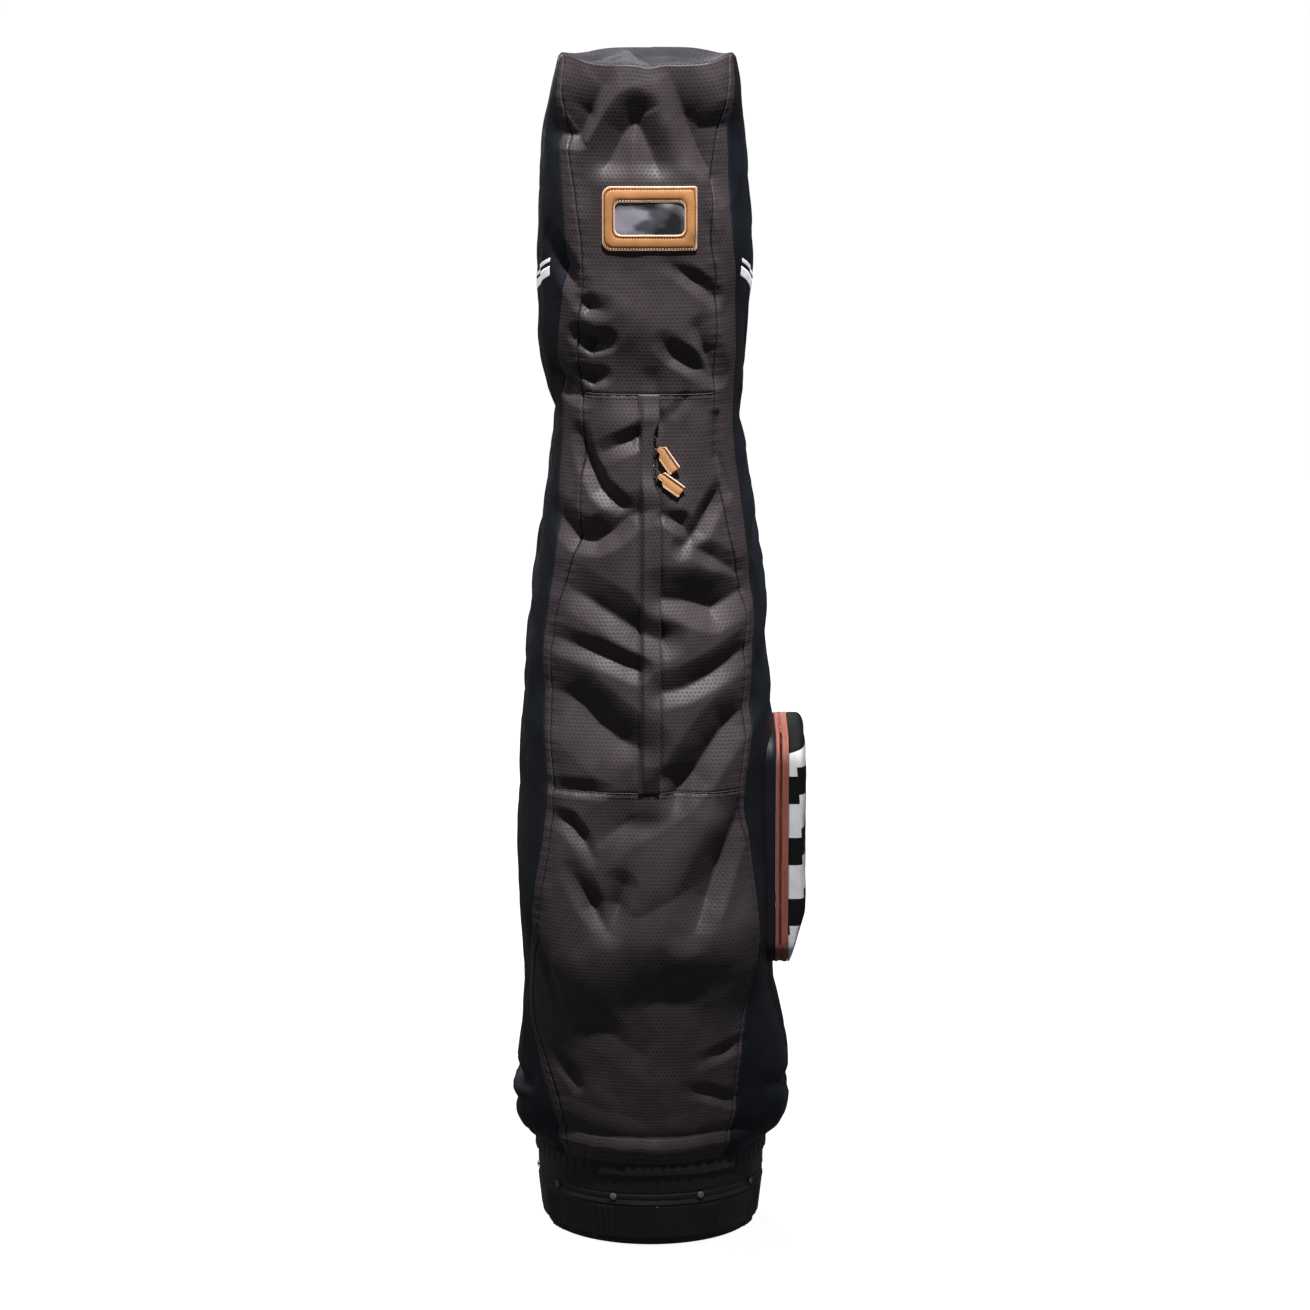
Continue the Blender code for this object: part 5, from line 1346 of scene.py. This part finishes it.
def tab_piece(name, nodes, body, origin, across, along, out):
    """A folded leather pull: a trough between two rolled edges, sewn along each side."""
    origin, across, along, out = (np.asarray(v, float) for v in (origin, across, along, out))

    def at(x, y, h):
        return origin + across * x + along * y + out * h

    neck = 0.0026  # half width where the wire link holds the pull
    loops = []
    for y in np.concatenate((np.linspace(0.0, 0.006, 10), np.linspace(0.0065, TAB_LENGTH, 34))):
        tip = np.clip((y - (TAB_LENGTH - 0.0016)) / 0.0016, 0, 1)
        widths = []
        for start, run in ((0.0058, 0.0048), (0.0014, 0.0022)):
            grow = np.clip((y - start) / run, 0, 1)
            widths.append(neck + (TAB_HALF_WIDTH - neck) * smooth(grow) - 0.0012 * tip * tip)
        thick = 0.0011 * (1 - 0.45 * tip * tip)
        line = []
        for a in full_turn(40):
            c, sn = math.cos(a), math.sin(a)
            width = widths[0 if c > 0 else 1]
            x = width * math.copysign(abs(c) ** 0.45, c)
            inside = min(abs(x) / max(width, 1e-6), 1)
            bead = grow * (0.0008 * hump(inside - 0.86, 0.13) - 0.0004 * hump(inside - 0.60, 0.06))
            h = math.copysign(abs(sn) ** 0.5, sn) * thick
            line.append(at(x, y - 0.0001, h + (bead if sn > 0 else 0)))
        loops.append(line)
    place(lofted(name, loops, smooth_angle=70), PULL_LEATHER, body, *nodes)
    for letter, side, start in (("a", -1, 0.0040), ("b", 1, 0.0108)):
        y = np.linspace(start, TAB_LENGTH - 0.0006, 24)
        rim = [at(side * (TAB_HALF_WIDTH - 0.0009), v, 0.0008) for v in y]
        place(tube_object(f"{name}_rim_{letter}", rim, 0.00095), EDGE_PAINT, body)
        y = np.linspace(0.0065, TAB_LENGTH - 0.0022, 20)
        path = [at(side * TAB_HALF_WIDTH * 0.60, v, 0.00085) for v in y]
        thread = stitch_path(f"{name}_thread_{letter}", path, np.tile(out, (20, 1)), 0.0021,
                             length=0.0017, radius=0.00034)
        place(thread, THREAD_BROWN, body)


def build_pulls():
    for which, z, degrees in SLIDERS:
        middle = on_zip(0.0, (z - SEAM_LOW) / ZIP_UP[2], 0.0)
        direction = math.radians(degrees)
        along = math.cos(direction) * np.array((1.0, 0, 0)) + math.sin(direction) * ZIP_UP
        hinge = PULL_HINGE_X / math.cos(direction)
        across = np.cross(along, ZIP_OUT)
        tab_piece(f"leather_pull_{which}", [f"pull_tab_{which}"], f"{which}_pull",
                  middle + along * hinge + ZIP_OUT * WIRE_HEIGHT, across, along, ZIP_OUT)
    tab_piece("leather_pull_side", ["pocket_pull_tab"], "side_pull",
              (0.1388, 0.0792 + WIRE_HEIGHT, POCKET_SLIDER_Z - 0.0120), (1, 0, 0), (0, 0, -1), (0, 1, 0))


# ---------------------------------------------------------------- name window
def on_front(x, z, offset):
    x, z, offset = np.broadcast_arrays(np.asarray(x, float), z, offset)
    angle = front_angle(x, z)
    return cover_surface(angle, z) + cover_normals(angle, z) * offset[..., None]


def rounded_path(half_width, half_height, radii, count):
    """Evenly spaced points and outward normals of a rounded rectangle, from its lower right corner."""
    points, normals = [], []
    corners = ((1, -1), (1, 1), (-1, 1), (-1, -1))
    for k, ((sx, sy), radius) in enumerate(zip(corners, radii)):
        for a in np.radians(np.linspace(-90 + 90 * k, 90 * k, 24)):
            direction = np.array((math.cos(a), math.sin(a)))
            middle = np.array((sx * (half_width - radius), sy * (half_height - radius)))
            points.append(middle + radius * direction)
            normals.append(direction)
    points, normals = np.array(points + points[:1]), np.array(normals + normals[:1])
    lengths = lengths_along(points)
    where = np.linspace(0, lengths[-1], count, endpoint=False)
    return spread(where, lengths, points), unit(spread(where, lengths, normals))


def build_window():
    count = 260
    (cx, cz), (fw, fh), (pw, ph) = WINDOW_CENTRE, WINDOW_FRAME, WINDOW_PANE
    outer = rounded_path(fw / 2, fh / 2, (0.002, 0.002, 0.009, 0.009), count)[0] + (cx, cz)
    inner = rounded_path(pw / 2, ph / 2, (0.007,) * 4, count)[0] + (cx, cz)

    def across_frame(share):
        return (outer + (inner - outer) * share).T

    def ring(share, height):
        x, z = across_frame(share)
        return on_front(x, z, height + 0.0007 * value_noise(x / 0.02, z / 0.02, 71))

    section = ((0.0, 0.0009), (0.0, 0.0022), (0.03, 0.0027), (0.10, 0.0026), (0.14, 0.0020),
               (0.19, 0.0026), (0.30, 0.0030), (0.50, 0.0031), (0.70, 0.0030), (0.80, 0.0026),
               (0.86, 0.0020), (0.91, 0.0026), (0.97, 0.0027), (1.0, 0.0022), (1.0, 0.0009))
    leather_frame = lofted("window_leather", [ring(*step) for step in section], ring=True, smooth_angle=70)
    place(leather_frame, TAN, "cover", "window_frame")
    for name, share in (("outer", 0.0), ("inner", 1.0)):
        edge = tube_object(f"window_edge_{name}", ring(share, 0.0018), 0.00085, closed=True)
        place(edge, EDGE_PAINT, "cover")
    for name, share in (("outer", 0.14), ("inner", 0.86)):
        x, z = across_frame(share)
        normals = cover_normals(front_angle(x, z), z)
        thread = stitch_path(f"window_thread_{name}", ring(share, 0.0024), normals, 0.0030,
                             closed=True, length=0.0023, radius=0.00042)
        place(thread, THREAD_BROWN, "cover")
    u, v = np.meshgrid(np.linspace(-1, 1, 70), np.linspace(-1, 1, 40))
    x, z = cx + u * (pw / 2 + 0.005), cz + v * (ph / 2 + 0.005)
    bow = 0.0006 * (1 - u**2) * (1 - v**2) + 0.00035 * value_noise(u * 2.2, v * 1.4 + u, 72)
    pane = grid_object("window_vinyl", on_front(x, z, 0.0011 + bow), stacked(x, z))
    thicken(pane, 0.0005)
    place(pane, VINYL, "cover", "window_pane")


# ---------------------------------------------------------------- side pocket
POCKET_CENTRE_Z, POCKET_HALF = 0.4255, (0.0790, 0.1255)
POCKET_CORNER, POCKET_RIM_X, POCKET_FACE_X = 0.0280, 0.1473, 0.1665


def pocket_path(count=360):
    return rounded_path(*POCKET_HALF, (POCKET_CORNER,) * 4, count)


def pocket_loop(path, facing, x, inset):
    y, z = (path - facing * np.reshape(inset, (-1, 1))).T
    return stacked(x, y, z + POCKET_CENTRE_Z)


def pocket_part(zipped):
    """The stretch of the pocket's outline that the zip follows, or the sewn stretch below it."""
    path, facing = pocket_path(720)
    above = path[:, 1] + POCKET_HALF[1] - POCKET_CORNER
    first, last = (int(np.argmin(np.hypot(path[:, 0] - side * POCKET_HALF[0], above))) for side in (1, -1))
    picked = np.arange(first, last + 1) if zipped else np.arange(last, first + 720) % 720
    return path[picked], facing[picked]


def pocket_strip(name, node, section, zipped, body, slot):
    path, facing = pocket_part(zipped)
    loops = np.array([pocket_loop(path, facing, x, inset) for x, inset in section])
    place(lofted(name, loops.transpose(1, 0, 2), smooth_angle=60), RUST_TAPE, body, node, slot=slot)


def build_pocket():
    path, facing = pocket_path()
    creases = 0.0004 * value_noise(np.arange(360) / 9.0, np.zeros(360), 81)
    gusset = ((0.1150, 0.0016), (0.1150, 0.0004), (0.1210, 0.0002), (0.1250, -0.0004), (0.1290, -0.0006),
              (0.1316, 0.0002), (0.1326, 0.0010), (0.1333, 0.0006), (0.1334, 0.0018), (0.1300, 0.0020))
    loops = [pocket_loop(path, facing, x, inset + creases) for x, inset in gusset]
    cloth = lofted("pocket_gusset_cloth", loops, ring=True, smooth_angle=60)
    place(cloth, SIDE_NYLON, "cover", "pocket_gusset")
    tape_in = ((0.1336, 0.0016), (0.1336, 0.0002), (0.1342, -0.0002), (0.1350, 0.0004), (0.1358, 0.0002),
               (0.1372, 0.0003), (0.1373, 0.0016))
    tape_out = ((0.1404, 0.0016), (0.1404, 0.0003), (0.1420, 0.0002), (0.1430, 0.0005), (0.1440, -0.0003),
                (0.1456, -0.0005), (0.1468, 0.0000), (0.1470, 0.0016))
    hinge = ((0.1336, 0.0018), (0.1336, 0.0002), (0.1352, -0.0003), (0.1370, 0.0006), (0.1388, 0.0010),
             (0.1406, 0.0006), (0.1440, -0.0004), (0.1466, 0.0002), (0.1468, 0.0018))
    pocket_strip("pocket_tape_back", "pocket_tape_inner", tape_in, True, "cover", "rust_tape")
    pocket_strip("pocket_tape_front", "pocket_tape_outer", tape_out, True, "pocket_lid", "rust_tape")
    pocket_strip("pocket_foot", "pocket_hinge_strip", hinge, False, "cover", "black_tape")
    for name, node, x, body in (("back", "pocket_teeth_inner", 0.13805, "cover"),
                                ("front", "pocket_teeth_outer", 0.13960, "pocket_lid")):
        line = pocket_loop(*pocket_part(True), x, 0.0006)
        coil_line(f"pocket_coil_{name}", line, 0.00078, 0.0014, RUST_COIL, body, node, squash=1.0)
    build_pocket_lid()


def build_pocket_lid():
    """The pocket's front: a rim, a rounded shoulder and a soft face that thins towards its foot."""
    path, facing = pocket_path()
    shoulder_x, shoulder_width, shoulder_rise = 0.1560, 0.0180, 0.0100
    face_x, face_bulge, stripe_start = 0.1662, 0.0006, 0.0192
    section = [(POCKET_RIM_X, 0.0004), (POCKET_RIM_X + 0.0016, 0.0), (0.1510, -0.0002), (0.1545, -0.0001)]
    section += [(shoulder_x + shoulder_rise * math.sin(a), shoulder_width * (1 - math.cos(a)) ** 1.25)
                for a in np.radians(np.linspace(0, 90, 16))]
    loops = [pocket_loop(path, facing, x, inset) for x, inset in section]
    rim = pocket_loop(path, facing, face_x, shoulder_width)
    centre = np.array((face_x, 0.0, POCKET_CENTRE_Z))
    for share in np.linspace(0.97, 0.001, 40):
        loops.append(centre + (rim - centre) * share + (face_bulge * (1 - share**2), 0, 0))
    points = np.array(loops)
    soft = value_noise(points[..., 1] / 0.022, points[..., 2] / 0.030, 91)
    fine = value_noise(points[..., 1] / 0.008 + 3, points[..., 2] / 0.011, 92)
    past_rim = np.clip((np.arange(len(loops)) - 3) / 10, 0, 1)[:, None]
    points[..., 0] += (0.0011 * soft + 0.0003 * fine - 0.0008) * past_rim
    drop = POCKET_FACE_X - np.minimum(points[..., 0], POCKET_FACE_X)
    unrolled = points[..., 1:] + facing * drop[..., None] + (stripe_start + POCKET_HALF[0], 0)
    above_foot = points[..., 2] - (POCKET_CENTRE_Z - POCKET_HALF[1])
    taper = 0.9 * np.clip(1 - above_foot / 0.062, 0, 1) ** 1.3
    points[..., 0] -= (points[..., 0] - POCKET_RIM_X).clip(0) * taper
    points, unrolled = (np.concatenate((a, a[:, :1]), axis=1)[::-1, ::-1] for a in (points, unrolled))
    lid = grid_object("pocket_front_cloth", points, unrolled)
    thicken(lid, 0.0012)
    place(lid, STRIPES, "pocket_lid", "pocket_front")
    lid.data.materials.append(BAG_CLOTH)  # the lining
    lid.modifiers["Cloth thickness"].material_offset = 1


# ---------------------------------------------------------------- camera, light and floor
def build_stage():
    white = bpy.data.materials.new("pale_floor")
    white.use_nodes = True
    shader = white.node_tree.nodes["Principled BSDF"]
    shader.inputs["Base Color"].default_value = (0.86, 0.86, 0.87, 1)
    shader.inputs["Roughness"].default_value = 0.9
    shader.inputs["Emission Color"].default_value = (1, 1, 1, 1)
    shader.inputs["Emission Strength"].default_value = 0.93
    floor = new_object("floor", [(-40, -40, 0), (40, -40, 0), (40, 40, 0), (-40, 40, 0)], [[0, 1, 2, 3]])
    floor.data.materials.append(white)
    floor.visible_diffuse = False
    floor.visible_glossy = False
    return floor


def add_object(name, data, where, turn):
    obj = bpy.data.objects.new(name, data)
    obj.location = where
    obj.rotation_euler = turn
    bpy.context.scene.collection.objects.link(obj)
    return obj


def aimed(where, target):
    return (Vector(where) - Vector(target)).to_track_quat("Z", "Y").to_euler()


def area_light(name, where, target, size, power):
    light = bpy.data.lights.new(name, "AREA")
    light.shape = "DISK"
    light.size = size
    light.energy = power
    add_object(name, light, where, aimed(where, target))


def build_lights(floor):
    """A hard key from high in front, which fades out low on the bag, and two weak fills."""
    target = Vector((0, -0.12, 1.68))
    where = target + Vector((0.67, -2.56, 6.72))
    light = bpy.data.lights.new("key", "SPOT")
    light.energy = 5900
    light.spot_size = math.radians(8.6)
    light.spot_blend = 0.375
    light.shadow_soft_size = 0.21
    light.color = (1.0, 0.985, 0.97)
    key = add_object("key", light, where, aimed(where, target))
    area_light("back", (-0.9, 2.8, 2.4), (0, 0, 0.75), 1.6, 34)
    area_light("left", (-2.8, 0.4, 1.9), (0, 0, 0.7), 1.2, 7)
    off_floor = bpy.data.collections.new("lit_by_key")
    off_floor.objects.link(floor)
    off_floor.collection_objects[0].light_linking.link_state = "EXCLUDE"
    key.light_linking.receiver_collection = off_floor
    world = bpy.data.worlds.new("studio")
    bpy.context.scene.world = world
    world.use_nodes = True
    background = world.node_tree.nodes["Background"]
    background.inputs["Color"].default_value = (0.92, 0.95, 1.0, 1)
    background.inputs["Strength"].default_value = 0.10


def build_camera():
    camera = bpy.data.cameras.new("camera")
    camera.lens = 139.9
    camera.sensor_width = 36
    bpy.context.scene.camera = add_object("camera", camera, (0.0048, -5.35, 1.74),
                                          (math.radians(90 - 11.77), 0, 0))
    bpy.context.scene.view_settings.view_transform = "Standard"


build_camera()
build_lights(build_stage())
build_cup()
build_band()
build_rivets()
build_inside()
build_cover()
build_crown()
build_seams()
build_prints()
build_hem()
build_front_zip()
build_flap()
build_pulls()
build_window()
build_pocket()
